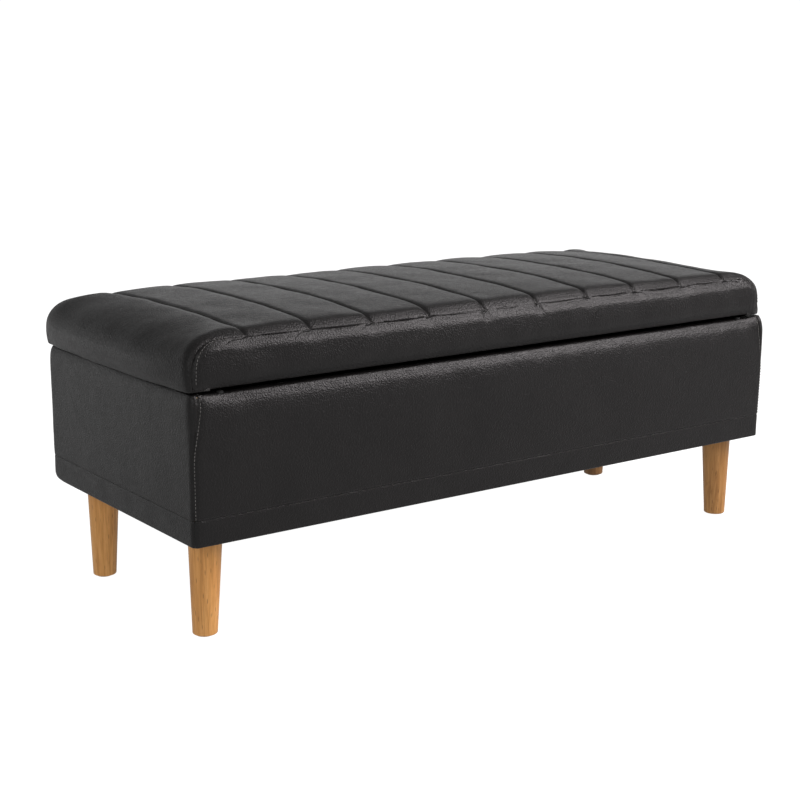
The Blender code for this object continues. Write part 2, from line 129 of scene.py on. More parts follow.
# ---- Small tools
def smooth(t):
    """Eases a number or array from 0 to 1."""
    t = np.clip(t, 0.0, 1.0)
    return t * t * (3.0 - 2.0 * t)


def soft_min(a, b, width):
    """The smaller of two arrays, rounded over width where they cross."""
    return 0.5 * (a + b - np.sqrt((a - b) ** 2 + width * width))


def undulation(points, wavelength, seed):
    """A smooth pseudo-random field, about -1 to 1, from plane waves near one wavelength."""
    rng = np.random.default_rng(seed)
    total = np.zeros(points.shape[:-1])
    waves = 14
    for _ in range(waves):
        direction = rng.normal(size=3)
        direction /= np.linalg.norm(direction)
        length = wavelength * rng.uniform(0.7, 1.6)
        phase = rng.uniform(0, 2 * math.pi)
        total += np.sin(points @ direction * (2 * math.pi / length) + phase)
    return np.tanh(total / math.sqrt(waves))


def grid_normals(points):
    """Unit normals of a grid of points, from the directions along its rows and columns."""
    across = np.gradient(points, axis=1)
    down = np.gradient(points, axis=0)
    normals = np.cross(across, down)
    lengths = np.linalg.norm(normals, axis=2, keepdims=True)
    return normals / np.maximum(lengths, 1e-12)


def arc_lengths(points):
    steps = np.linalg.norm(np.diff(points, axis=0), axis=1)
    return np.concatenate([[0.0], np.cumsum(steps)])


def at_length(curve, lengths, s):
    """What a curve holds at the lengths s along it."""
    return np.stack([np.interp(s, lengths, curve[:, k]) for k in range(curve.shape[1])], -1)


def beside_seam(distance):
    """1 at a seam, fading to 0 where its dip ends."""
    return (1.0 - np.clip(distance / SEAM_REACH, 0.0, 1.0)) ** 2


def spaced(start, end, step):
    """Evenly spaced numbers from start to end, both included, about one step apart."""
    count = max(2, int(round(abs(end - start) / step)) + 1)
    return np.linspace(start, end, count)


def link(obj):
    bpy.context.scene.collection.objects.link(obj)
    return obj


def mesh_object(name, vertices, faces):
    mesh = bpy.data.meshes.new(name)
    mesh.from_pydata([tuple(v) for v in vertices], [], [tuple(int(i) for i in f) for f in faces])
    mesh.polygons.foreach_set("use_smooth", [True] * len(mesh.polygons))
    mesh.update()
    return link(bpy.data.objects.new(name, mesh))


def grid_faces(rows, columns, closed=False):
    index = np.arange(rows * columns).reshape(rows, columns)
    if closed:
        index = np.concatenate([index, index[:, :1]], axis=1)
    corners = [index[:-1, :-1], index[:-1, 1:], index[1:, 1:], index[1:, :-1]]
    return np.stack(corners, -1).reshape(-1, 4)


def grid_object(name, points, outward):
    """A quad sheet through points[row][column]; outward is -1 to turn its faces over."""
    faces = grid_faces(*points.shape[:2])[:, :: int(outward)]
    return mesh_object(name, points.reshape(-1, 3), faces)


@contextlib.contextmanager
def mesh_edit(obj):
    """An object's mesh opened for editing, and written back after."""
    bm = bmesh.new()
    bm.from_mesh(obj.data)
    yield bm
    bm.to_mesh(obj.data)
    bm.free()


def tidy_mesh(obj, distance=2e-5):
    """Merges doubled points, drops the faces that they leave empty and keeps turned edges crisp."""
    with mesh_edit(obj) as bm:
        bmesh.ops.remove_doubles(bm, verts=bm.verts, dist=distance)
        bmesh.ops.dissolve_degenerate(bm, edges=bm.edges, dist=distance)
        for face in bm.faces:
            face.smooth = True
        for edge in bm.edges:
            edge.smooth = not (len(edge.link_faces) == 2 and edge.calc_face_angle() > FOLD)


def leather_panel(name, grid, outward):
    """A sheet of leather through a grid of points."""
    panel = grid_object(name, grid, outward)
    tidy_mesh(panel)
    thicken(panel, LEATHER)
    return panel


def loft_faces(rings, sides, start=0):
    """Faces between rings of points numbered from start, and over the first and the last ring."""
    faces = [list(face) for face in start + grid_faces(rings, sides, closed=True)]
    last = start + (rings - 1) * sides
    return faces + [list(range(start, start + sides))[::-1], list(range(last, last + sides))]


def loft(name, rings):
    """A closed body through rings of points; a ring of no size becomes a point."""
    rings = np.array(rings, float)
    obj = mesh_object(name, rings.reshape(-1, 3), loft_faces(*rings.shape[:2]))
    with mesh_edit(obj) as bm:
        bmesh.ops.remove_doubles(bm, verts=bm.verts, dist=1e-7)
        bmesh.ops.recalc_face_normals(bm, faces=bm.faces)
    return obj


def lathe(name, centre, profile, sides):
    """A turned body from (radius, x shift, height) up or down its axis."""
    angles = 2 * math.pi * np.arange(sides) / sides
    circle = np.stack([np.cos(angles), np.sin(angles), np.zeros(sides)], -1)
    return loft(name, [(centre.x + shift, centre.y, z) + radius * circle for radius, shift, z in profile])


def thicken(obj, thickness):
    """Gives a sheet its thickness, inwards from its faces."""
    solid = obj.modifiers.new("thickness", "SOLIDIFY")
    solid.thickness = thickness
    solid.offset = -1.0
    solid.use_rim = True


def paint(obj, material):
    obj.data.materials.clear()
    obj.data.materials.append(MATERIALS[material])


def dress(obj, material, slot, body, *replaces):
    """Paints a piece, puts it on its body and hides the CAD nodes that it stands for; slot is not used."""
    paint(obj, material)
    if replaces:
        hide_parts(*replaces)
    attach(obj, body)


# ---- Materials
def add_node(tree, kind, inputs=None, **settings):
    """A new shader node with its settings, its inputs set or linked."""
    made = tree.nodes.new(kind)
    for key, value in settings.items():
        setattr(made, key, value)
    for socket, value in (inputs or {}).items():
        if isinstance(value, bpy.types.NodeSocket):
            tree.links.new(value, made.inputs[socket])
        else:
            made.inputs[socket].default_value = value
    return made


def add_ramp(tree, factor, stops):
    """The colour output of a ramp through stops of (position, colour)."""
    node = add_node(tree, "ShaderNodeValToRGB", {"Fac": factor})
    elements = node.color_ramp.elements
    while len(elements) < len(stops):
        elements.new(0.5)
    for element, (position, colour) in zip(elements, stops):
        element.position = position
        element.color = (*colour, 1.0)
    return node.outputs["Color"]


class Paint:
    """One procedural material, built a node at a time."""

    def __init__(self, name, roughness, metallic=0.0, specular=0.5):
        self.material = bpy.data.materials.new(name)
        self.material.use_nodes = True
        self.tree = self.material.node_tree
        self.surface = self.tree.nodes["Principled BSDF"]
        self.surface.inputs["Roughness"].default_value = roughness
        self.surface.inputs["Metallic"].default_value = metallic
        self.surface.inputs["Specular IOR Level"].default_value = specular
        self.place = self.node("ShaderNodeTexCoord").outputs["Object"]

    def node(self, kind, inputs=None, **settings):
        return add_node(self.tree, kind, inputs, **settings)

    def scaled(self, x, y, z):
        node = self.node("ShaderNodeMapping", {"Vector": self.place, "Scale": (x, y, z)})
        return node.outputs["Vector"]

    def noise(self, scale, detail=3.0, roughness=0.5, place=None, distortion=0.0):
        values = {"Vector": place or self.place, "Scale": scale, "Detail": detail}
        values |= {"Roughness": roughness, "Distortion": distortion}
        return self.node("ShaderNodeTexNoise", values).outputs["Fac"]

    def cells(self, scale, place=None, feature="F1"):
        values = {"Vector": place or self.place, "Scale": scale}
        return self.node("ShaderNodeTexVoronoi", values, feature=feature).outputs["Distance"]

    def wave(self, place, scale, distortion, direction, detail=2.0):
        values = {"Vector": place, "Scale": scale, "Distortion": distortion, "Detail": detail}
        return self.node("ShaderNodeTexWave", values, bands_direction=direction).outputs["Fac"]

    def remap(self, value, low, high, to_low, to_high):
        values = {"Value": value, "From Min": low, "From Max": high, "To Min": to_low, "To Max": to_high}
        return self.node("ShaderNodeMapRange", values).outputs["Result"]

    def math(self, operation, a, b):
        return self.node("ShaderNodeMath", {0: a, 1: b}, operation=operation).outputs[0]

    def ramp(self, factor, stops):
        return add_ramp(self.tree, factor, stops)

    def mix(self, factor, a, b, blend="MIX"):
        values = {0: factor}
        for socket, value in ((6, a), (7, b)):
            values[socket] = value if isinstance(value, bpy.types.NodeSocket) else (*value, 1.0)
        return self.node("ShaderNodeMix", values, data_type="RGBA", blend_type=blend).outputs[2]

    def bump(self, height, distance, strength=1.0, under=None):
        values = {"Height": height, "Distance": distance, "Strength": strength}
        if under is not None:
            values["Normal"] = under
        return self.node("ShaderNodeBump", values).outputs["Normal"]

    def finish(self, colour=None, roughness=None, normal=None):
        for socket, value in (("Base Color", colour), ("Roughness", roughness), ("Normal", normal)):
            if value is not None:
                self.tree.links.new(value, self.surface.inputs[socket])
        return self.material


def leather_material(name, roughness, rub_and_highlight_amount):
    """Matte black faux leather: pebble grain, creases, slow tone changes, and sharp edges painted lighter,
    partly rubbed wear and partly painted highlight.
    """
    p = Paint(name, roughness, specular=LEATHER_SPECULAR)
    drift = p.node("ShaderNodeTexNoise", {"Vector": p.place, "Scale": 160.0, "Detail": 2.0})
    shift = p.node("ShaderNodeVectorMath", {0: drift.outputs["Color"], 3: 0.0012}, operation="SCALE")
    warp = p.node("ShaderNodeVectorMath", {0: p.place, 1: shift.outputs[0]}, operation="ADD")
    grained = warp.outputs[0]
    pebbles = p.cells(480.0, grained, "SMOOTH_F1")
    creases = p.cells(310.0, grained, "DISTANCE_TO_EDGE")
    creases = p.remap(creases, 0.0, 0.10, 0.0, 1.0)
    fine = p.noise(1900.0, 2.0)
    slow = p.noise(42.0, 3.0, 0.45)
    patches = p.noise(9.0, 3.0, 0.6)
    colour = p.mix(p.remap(patches, 0.3, 0.7, 0.0, 1.0), LEATHER_DARK, LEATHER_LIGHT)
    colour = p.mix(p.remap(pebbles, 0.25, 0.75, 0.0, 0.5), colour, LEATHER_VALLEY)
    # Sharp edges are painted lighter: partly rubbed wear, partly a painted highlight along the edges.
    edge = p.node("ShaderNodeNewGeometry").outputs["Pointiness"]
    rub_and_highlight = p.remap(edge, 0.53, 0.64, 0.0, rub_and_highlight_amount)
    colour = p.mix(rub_and_highlight, colour, LEATHER_RUB_AND_HIGHLIGHT)
    gloss = p.remap(p.noise(140.0, 4.0, 0.6), 0.3, 0.7, roughness - 0.05, roughness + 0.06)
    normal = p.bump(slow, 0.0006, 0.5)
    normal = p.bump(creases, 0.00012, 0.55, normal)
    normal = p.bump(pebbles, 0.00065, 1.0, normal)
    normal = p.bump(fine, 0.00004, 0.5, normal)
    return p.finish(colour, gloss, normal)


def wood_material(name, tone, shift):
    """Lacquered pale hardwood with upright fibres, growth streaks and short dark flecks.

    tone scales the colours: partly the legs' own differing wood, partly painted light and shade, the left
    legs lighter and the right ones darker; shift moves the grain pattern sideways.
    """
    p = Paint(name, 0.42, specular=0.4)
    place = p.node("ShaderNodeMapping", {"Vector": p.place, "Location": (shift, 0.0, 0.0)})
    p.place = place.outputs["Vector"]
    bend = p.noise(9.0, 2.0)
    along = p.scaled(1.0, 1.0, 0.055)
    streaks = p.noise(150.0, 4.0, 0.62, along, 0.3)
    broad = p.noise(46.0, 2.0, 0.5, p.scaled(1.0, 1.0, 0.10))
    fibres = p.noise(620.0, 3.0, 0.6, p.scaled(1.0, 1.0, 0.03))
    flecks = p.cells(260.0, p.scaled(1.0, 1.0, 0.14))
    colour = p.ramp(streaks, [(0.30, WOOD_DARK), (0.47, WOOD_MID), (0.66, WOOD_LIGHT)])
    colour = p.mix(p.remap(broad, 0.35, 0.65, 0.0, 0.45), colour, WOOD_MID)
    colour = p.mix(p.remap(bend, 0.42, 0.68, 0.0, 0.30), colour, WOOD_WARM)
    colour = p.mix(p.remap(fibres, 0.52, 0.66, 0.0, 0.35), colour, WOOD_DARK)
    colour = p.mix(p.remap(flecks, 0.10, 0.20, 0.55, 0.0), colour, WOOD_FLECK)
    gloss = p.remap(fibres, 0.3, 0.7, 0.36, 0.52)
    # The tone multiplies the whole colour: the leg's own wood, and painted light and shade (left legs
    # lighter, right ones darker).
    colour = p.mix(1.0, colour, (tone, tone, tone), "MULTIPLY")
    normal = p.bump(fibres, 0.00010, 0.6)
    normal = p.bump(streaks, 0.00015, 0.5, normal)
    return p.finish(colour, gloss, normal)


def board_material():
    """Pale wood board with mixed chips and saw-roughened faces."""
    p = Paint("board_chips", 0.75, specular=0.3)
    chips = p.node("ShaderNodeTexVoronoi", {"Vector": p.scaled(1.0, 0.45, 1.0), "Scale": 260.0})
    tone = p.node("ShaderNodeSeparateColor", {"Color": chips.outputs["Color"]}).outputs[0]
    fine = p.noise(900.0, 3.0)
    stops = [(0.0, (0.33, 0.20, 0.10)), (0.5, (0.48, 0.32, 0.17)), (1.0, (0.62, 0.45, 0.27))]
    colour = p.ramp(tone, stops)
    colour = p.mix(p.remap(fine, 0.35, 0.65, 0.0, 0.3), colour, (0.30, 0.19, 0.10))
    normal = p.bump(tone, 0.00015, 0.5)
    normal = p.bump(fine, 0.00010, 0.6, normal)
    return p.finish(colour, p.remap(fine, 0.3, 0.7, 0.68, 0.85), normal)


def cloth_material():
    """Black spun lining cloth: a fine plain weave with slubs and a slight dusty bloom."""
    p = Paint("lining_weave", 0.85, specular=0.2)
    threads = [p.wave(p.place, 320.0, 0.55, axis, detail=1.0) for axis in "XYZ"]
    weave = p.math("MULTIPLY", p.math("ADD", threads[0], threads[1]), threads[2])
    slub = p.noise(60.0, 4.0, 0.6)
    dust = p.noise(7.0, 3.0, 0.55)
    colour = p.mix(p.remap(slub, 0.35, 0.65, 0.0, 1.0), (0.012, 0.012, 0.013), (0.022, 0.022, 0.023))
    colour = p.mix(p.remap(weave, 0.2, 1.4, 0.35, 0.0), colour, (0.005, 0.005, 0.005))
    colour = p.mix(p.remap(dust, 0.5, 0.75, 0.0, 0.25), colour, (0.045, 0.043, 0.040))
    p.surface.inputs["Sheen Weight"].default_value = 0.15
    normal = p.bump(weave, 0.00020, 0.7)
    normal = p.bump(slub, 0.00025, 0.4, normal)
    return p.finish(colour, p.remap(slub, 0.3, 0.7, 0.8, 0.92), normal)


def steel_material():
    """Zinc-plated pressed steel with rolling lines, fine scratches and dull patches."""
    p = Paint("plated_steel", 0.36, metallic=1.0)
    lines = p.noise(900.0, 2.0, 0.5, p.scaled(0.05, 1.0, 1.0))
    cloud = p.noise(65.0, 4.0, 0.6)
    scratch = p.noise(420.0, 2.0, 0.5, p.scaled(1.0, 0.08, 0.4))
    colour = p.mix(p.remap(cloud, 0.35, 0.65, 0.0, 1.0), (0.46, 0.47, 0.48), (0.60, 0.60, 0.60))
    colour = p.mix(p.remap(scratch, 0.60, 0.72, 0.0, 0.5), colour, (0.30, 0.30, 0.31))
    normal = p.bump(lines, 0.00003, 0.5)
    return p.finish(colour, p.remap(cloud, 0.3, 0.7, 0.26, 0.46), normal)


def moulded_material(name, dark, light, roughness, scale):
    """Moulded plastic or rubber with a spark-eroded texture and scuffs."""
    p = Paint(name, roughness, specular=0.35)
    texture = p.noise(scale, 3.0, 0.6)
    scuffs = p.noise(240.0, 4.0, 0.65, p.scaled(1.0, 0.3, 1.0))
    colour = p.mix(p.remap(p.noise(35.0), 0.35, 0.65, 0.0, 1.0), dark, light)
    colour = p.mix(p.remap(scuffs, 0.60, 0.75, 0.0, 0.5), colour, [min(1.0, 2.2 * c) for c in light])
    gloss = p.remap(scuffs, 0.4, 0.7, roughness, min(1.0, roughness + 0.15))
    return p.finish(colour, gloss, p.bump(texture, 0.00012, 0.6))


def thread_material(name, dark, light):
    """Twisted sewing thread."""
    p = Paint(name, 0.55, specular=0.35)
    twist = p.wave(p.place, 900.0, 1.5, "DIAGONAL")
    colour = p.mix(twist, dark, light)
    return p.finish(colour, p.remap(twist, 0.0, 1.0, 0.5, 0.65), p.bump(twist, 0.00008, 0.6))


LEATHER_SPECULAR = 0.26
LEATHER_DARK = (0.0074, 0.0067, 0.0067)
LEATHER_LIGHT = (0.0104, 0.0095, 0.0094)
LEATHER_VALLEY = (0.0065, 0.0062, 0.0060)
# Colour of the sharp edges: partly rubbed wear, partly painted highlight.
LEATHER_RUB_AND_HIGHLIGHT = (0.040, 0.038, 0.037)
WOOD_LIGHT = (0.760, 0.400, 0.138)
WOOD_MID = (0.590, 0.280, 0.078)
WOOD_DARK = (0.340, 0.142, 0.036)
WOOD_WARM = (0.500, 0.205, 0.050)
WOOD_FLECK = (0.120, 0.048, 0.014)
# Each leg's tone: partly its own wood, partly painted light and shade: the left legs lighter, the right
# ones darker, the rear right darkest.
LEG_TONES_AND_SHADE = {"front_left": 1.20, "rear_left": 1.18, "front_right": 0.76, "rear_right": 0.36}

MATERIALS = {
    # The third number is how far the sharp edges are painted lighter: rubbed wear and painted highlight.
    "lid_leather": leather_material("lid_leather", 0.37, 0.5),
    "box_leather": leather_material("box_leather", 0.38, 0.4),
    "board": board_material(),
    "lining": cloth_material(),
    "steel": steel_material(),
    "glide": moulded_material("glide_plastic", (0.55, 0.52, 0.46), (0.66, 0.63, 0.57), 0.5, 900.0),
    "rubber": moulded_material("bumper_rubber", (0.006,) * 3, (0.012,) * 3, 0.7, 1200.0),
    "thread": thread_material("black_thread", (0.010, 0.009, 0.009), (0.035, 0.033, 0.032)),
    "knot": thread_material("knot_thread", (0.10, 0.095, 0.09), (0.24, 0.23, 0.22)),
}
for place, (corner, tone) in enumerate(LEG_TONES_AND_SHADE.items()):
    MATERIALS[f"wood_{corner}"] = wood_material(f"leg_wood_{corner}", tone, 0.37 * place)


# ---- Sewing
def stitch_row(points, normals, pitch, thread, lift):
    """Rings of points round every short thread loop along a line."""
    lengths = arc_lengths(points)
    count = max(1, int(lengths[-1] / pitch))
    angles = 2 * math.pi * np.arange(STITCH_SIDES) / STITCH_SIDES
    loops = []
    for s in (np.arange(count) + 0.5) * lengths[-1] / count:
        tangent = at_length(points, lengths, s + 5e-4) - at_length(points, lengths, s - 5e-4)
        tangent /= max(np.linalg.norm(tangent), 1e-9)
        up = at_length(normals, lengths, s)
        up -= tangent * (up @ tangent)
        up /= max(np.linalg.norm(up), 1e-9)
        ring = np.outer(np.cos(angles), np.cross(tangent, up)) + np.outer(np.sin(angles), up)
        rings = []
        for place, radius in STITCH_STATIONS:
            bow = lift - 0.35 * thread * (2 * place) ** 2
            centre = at_length(points, lengths, s) + tangent * place * pitch * STITCH_FILL + up * bow
            rings.append(centre + ring * 0.5 * thread * radius)
        loops.append(rings)
    return loops


def stitches(name, rows, body, material="thread"):
    """One object holding several stitch rows, each (points, normals, pitch, thread, lift)."""
    loops = np.array([loop for row in rows for loop in stitch_row(*row)])
    count, rings, sides = loops.shape[:3]
    faces = []
    for start in range(0, count * rings * sides, rings * sides):
        faces += loft_faces(rings, sides, start)
    obj = mesh_object(name, loops.reshape(-1, 3), faces)
    with mesh_edit(obj) as bm:
        bmesh.ops.recalc_face_normals(bm, faces=bm.faces)
    dress(obj, material, "faux_leather", body)


# ---- The lid's stuffed top panel
SEAM_HALF_Y = HALF_Y - LID_CORNER * (1 - math.cos(math.pi / 4))
ARC_STEPS = 22  # rows round an end's roll
LAST_TOP_X = OUTER_LINE + 0.030  # the last column placed by its x; the end's roll takes over there


def seam_y(v):
    """Half depth of the top's own seam on the side that v, -1 in front to 1 behind, looks to."""
    return np.where(v < 0, FRONT_SEAM_Y, REAR_SEAM_Y)


def seam_z(y):
    return np.where(y < 0, FRONT_SEAM_Z, REAR_SEAM_Z)


def channel_height(y):
    """Height of a channel's middle at depth y: a long low crown, a soft crease, then the roll down."""
    back = np.abs(y)
    fall = np.where(y < 0, 0.0095 * (back / 0.22) ** 2.4, 0.0075 * (back / 0.19) ** 2.4)
    slope = np.where(y < 0, math.tan(math.radians(44)), math.tan(math.radians(28)))
    return soft_min(CREST_Z - fall, seam_z(y) + slope * (seam_y(y) - back), 0.0035)


def line_height(y):
    """Height of a stitch line at depth y."""
    back = np.abs(y)
    crown = LINE_Z - 0.0085 * (back / 0.22) ** 2.6
    fore = soft_min(crown, seam_z(y) + 1.1 * (FRONT_SEAM_Y - back), 0.004)
    aft = LINE_Z - (LINE_Z - REAR_SEAM_Z) * (back / REAR_SEAM_Y) ** 3.5
    return np.where(y < 0, fore, aft)


def end_fall(x):
    """The top falls a little towards its ends, before they roll over."""
    return END_FALL * smooth((np.abs(x) - 0.385) / 0.085)


def channel_shape(x):
    """0 on a stitch line, 1 along a channel's middle, with flat tops and quick shoulders."""
    inside = np.abs(x) <= OUTER_LINE
    phase = (x - STITCH_LINES[0]) / CHANNEL_PITCH
    across = 2.0 * (phase - np.floor(phase)) - 1.0
    middle = 1.0 - 0.40 * np.abs(across) ** 3 - 0.60 * np.abs(across) ** 15
    reach = np.clip((np.abs(x) - OUTER_LINE) / 0.024, 0.0, 1.0)
    end = 1.0 - (1.0 - reach) ** 3
    return np.where(inside, middle, end)


def crease_sink(x):
    """The thread's own narrow crease at each stitch line."""
    return sum(np.exp(-(((x - line) / CREASE_WIDTH) ** 2)) for line in STITCH_LINES)


def top_samples():
    """x of the columns across the top, dense beside each stitch line."""
    near = np.array([0.0, 0.0012, 0.0026, 0.0048, 0.0080, 0.0125, 0.0185, 0.0260, 0.0350, 0.0445])
    half = CHANNEL_PITCH / 2
    pattern = np.concatenate([near, [half], CHANNEL_PITCH - near[:0:-1]])
    columns = np.concatenate([line + pattern for line in STITCH_LINES[:-1]] + [[OUTER_LINE]])
    outer = np.concatenate([OUTER_LINE + near[1:7], [OUTER_LINE + 0.0240, LAST_TOP_X]])
    return np.concatenate([-outer[::-1], columns, outer])


def section(v, side):
    """One end at v: its half width, its roll's reach, drop and squareness, and its swell."""
    swell = 1.0 - np.abs(v) ** 3.0
    away = (1.0 - np.abs(v)) * SEAM_HALF_Y
    inside = np.clip(LID_CORNER * math.sin(math.pi / 4) - away, 0.0, None)
    corner = LID_CORNER - np.sqrt(LID_CORNER**2 - inside**2)
    width = HALF_X - 0.0003 - corner + (LEFT_SWELL if side < 0 else RIGHT_SWELL) * swell
    reach = 0.058 + 0.057 * (1.0 - np.abs(v) ** 6.0)
    drop = 0.049 + 0.006 * swell
    square = 2.7 - 0.7 * (1.0 - np.abs(v) ** 6.0)
    return width, reach, drop, square, swell


def seam_depth(v, share):
    """Half depth of the seam at a share of the way up the end's roll, 0 on the side and 1 on top."""
    top = seam_y(v)
    return top + (SEAM_HALF_Y - top) * (1.0 - smooth(share)) ** 0.8


def end_height(x, v, side):
    """Height of the end's roll at a column of the top."""
    width, reach, drop, square, _ = section(v, side)
    along = np.clip((abs(x) - (width - reach)) / reach, 0.0, 1.0)
    return -drop * (1.0 - (1.0 - along**square) ** (1.0 / square))


def end_profile(v, side):
    """(x, z, share of the roll) of one end's rows at every v: turned under, up the side and over."""
    width, reach, drop, square, swell = section(v, side)
    tuck = 0.0015 + 0.0065 * swell
    bottom = width - tuck
    low = np.full_like(v, LID_BOTTOM)
    under = [np.minimum(bottom - UNDER_WIDTH, HALF_X - 0.0340), np.minimum(bottom - 0.020, HALF_X - 0.0250)]
    under += [bottom - inset for inset in (0.013, 0.008, 0.0045)]
    rows = [(x, low, 0.0) for x in under]
    for angle in np.radians([22.5, 45.0, 67.5]):
        x = bottom - UNDER_TURN * (1 - math.sin(angle))
        rows.append((x, low + UNDER_TURN * (1 - math.cos(angle)), 0.0))
    foot = LID_BOTTOM + UNDER_TURN
    shoulder = end_top(v) - drop
    for t in np.linspace(0.0, 1.0, 9)[:-1]:
        rows.append((width - tuck * (1.0 - t) ** 2.2, foot + t * (shoulder - foot), 0.0))
    start = np.clip((LAST_TOP_X - (width - reach)) / reach, 0.0, 1.0)
    last_angle = np.arccos(start ** (square / 2.0))
    for share in np.linspace(0.0, 1.0, ARC_STEPS)[:-1]:
        theta = last_angle * share
        x = width - reach + reach * np.abs(np.cos(theta)) ** (2.0 / square)
        rows.append((x, shoulder + drop * np.sin(theta) ** (2.0 / square), share))
    return rows


def end_top(v):
    """Height from which an end rolls down."""
    at_seam = np.abs(v) ** 8
    return channel_height(seam_y(v) * v) - END_FALL * (1.0 - at_seam) + CORNER_LIFT * at_seam


def seam_rows(step):
    """v from -1 to 1, with rows close together beside both seams."""
    half = FRONT_SEAM_Y
    near = np.array([0.0, 0.0009, 0.0020, 0.0035, 0.0058, 0.0090, 0.0130])
    middle = spaced(0.0, half - 0.018, step)
    positive = np.concatenate([middle, half - near[::-1]])
    return np.concatenate([-positive[:0:-1], positive]) / half


def make_top_panel():
    """Grid of the top panel: rows run front to back (v), columns run up the left end, over and down."""
    v = seam_rows(0.0065)
    y_top = v * seam_y(v)
    at_seam = np.abs(v) ** 8
    columns = [(-x, v * seam_depth(v, share), z, share) for x, z, share in end_profile(v, -1)]
    for x in top_samples():
        z = channel_height(y_top) - end_fall(x) * (1.0 - at_seam) + end_height(x, v, -1 if x < 0 else 1)
        z = z + CORNER_LIFT * at_seam * (abs(x) / 0.51) ** 4
        columns.append((np.full_like(v, x), y_top, z, 1.0))
    columns += [(x, v * seam_depth(v, share), z, share) for x, z, share in reversed(end_profile(v, 1))]
    points = np.stack([np.stack(column[:3], -1) for column in columns], 1)
    x = points[..., 0]
    depth = (channel_height(y_top) - line_height(y_top))[:, None]
    lift = smooth(np.array([column[3] for column in columns]))
    points[..., 2] -= (depth * (1.0 - channel_shape(x)) + CREASE_DEPTH * crease_sink(x)) * lift
    return points, v


def pull_corner(points):
    """The right end's corners are drawn in where the leather is gathered, most of all above the board."""
    x, y, z = points[..., 0], np.abs(points[..., 1]), points[..., 2]
    share = 0.7 + 0.3 * smooth((z - 0.376) / 0.016)
    moved = points.copy()
    moved[..., 0] -= CORNER_PULL * share * smooth((y - 0.195) / 0.040) * smooth((x - 0.44) / 0.11)
    return moved


def level_top(points):
    """The stuffing lies a little lower towards the right end and higher towards the left."""
    x, z = points[..., 0], points[..., 2]
    moved = points.copy()
    change = 0.0012 * smooth((-x - 0.15) / 0.25) - 0.0030 * smooth((x - 0.10) / 0.40)
    moved[..., 2] += change * smooth((z - 0.415) / 0.030)
    return moved


def soften(points, v, seed):
    """Hand-sewn unevenness: slow swells over the stuffing, small ripples beside the stitching."""
    normals = grid_normals(points)
    fade = smooth((1.0 - np.abs(v)) / 0.10)[:, None]
    slow = undulation(points, 0.095, seed) * 0.0007
    quick = undulation(points, 0.030, seed + 1) * 0.00022
    return points + normals * ((slow + quick) * fade)[..., None]


def seam_sink_at(x):
    """The seam sinks least along the top and most where it runs down the corners."""
    return TOP_SEAM_SINK + (SEAM_SINK - TOP_SEAM_SINK) * smooth((np.abs(x) - 0.525) / 0.030)


def sink_seams(points, distance):
    """Turns the first and last rows in along the seams, and dips the leather just beside them."""
    normals = grid_normals(points)
    dip = seam_sink_at(points[..., 0]) * beside_seam(distance)
    points = points - normals * dip[..., None]
    first = points[:1] - normals[:1] * TURNED_IN
    last = points[-1:] - normals[-1:] * TURNED_IN
    return np.concatenate([first, points, last], 0)


def build_lid_top():
    """The stuffed top with its channel stitching and end knots; gives the panel's grid of points."""
    points, v = make_top_panel()
    points = level_top(pull_corner(soften(points, v, 11)))
    normals = grid_normals(points)
    distance = ((1.0 - np.abs(v)) * FRONT_SEAM_Y)[:, None]
    panel = leather_panel("lid_top_panel", sink_seams(points, distance), -1.0)
    dress(panel, "lid_leather", "faux_leather", "lid", "lid_top_cover", "seat_foam")
    lines = [int(np.argmin(np.abs(points[len(v) // 2, :, 0] - x))) for x in STITCH_LINES]
    rows = [(points[:, line], normals[:, line], *CHANNEL_STITCH) for line in lines]
    stitches("lid_channel_stitches", rows, "lid")
    ends = (slice(1, 5), slice(-5, -1))
    rows = [(points[end, line], normals[end, line], *END_KNOT) for line in lines for end in ends]
    stitches("lid_line_end_knots", rows, "lid", material="knot")
    return points


# ---- The lid's front and rear boxing
def sheet_inside(left, right, top):
    """A grid between two side curves, a top curve and a straight bottom, all of them followed."""
    t = np.linspace(0.0, 1.0, BOXING_ROWS)
    edges = []
    for curve in (left, right):
        lengths = arc_lengths(curve)
        edges.append(at_length(curve, lengths, t * lengths[-1])[:, None])
    lengths = arc_lengths(top)
    s = (lengths / lengths[-1])[:, None]
    arch = top - (top[0] * (1 - s) + top[-1] * s)
    return edges[0] * (1 - s) + edges[1] * s + t[:, None, None] * arch


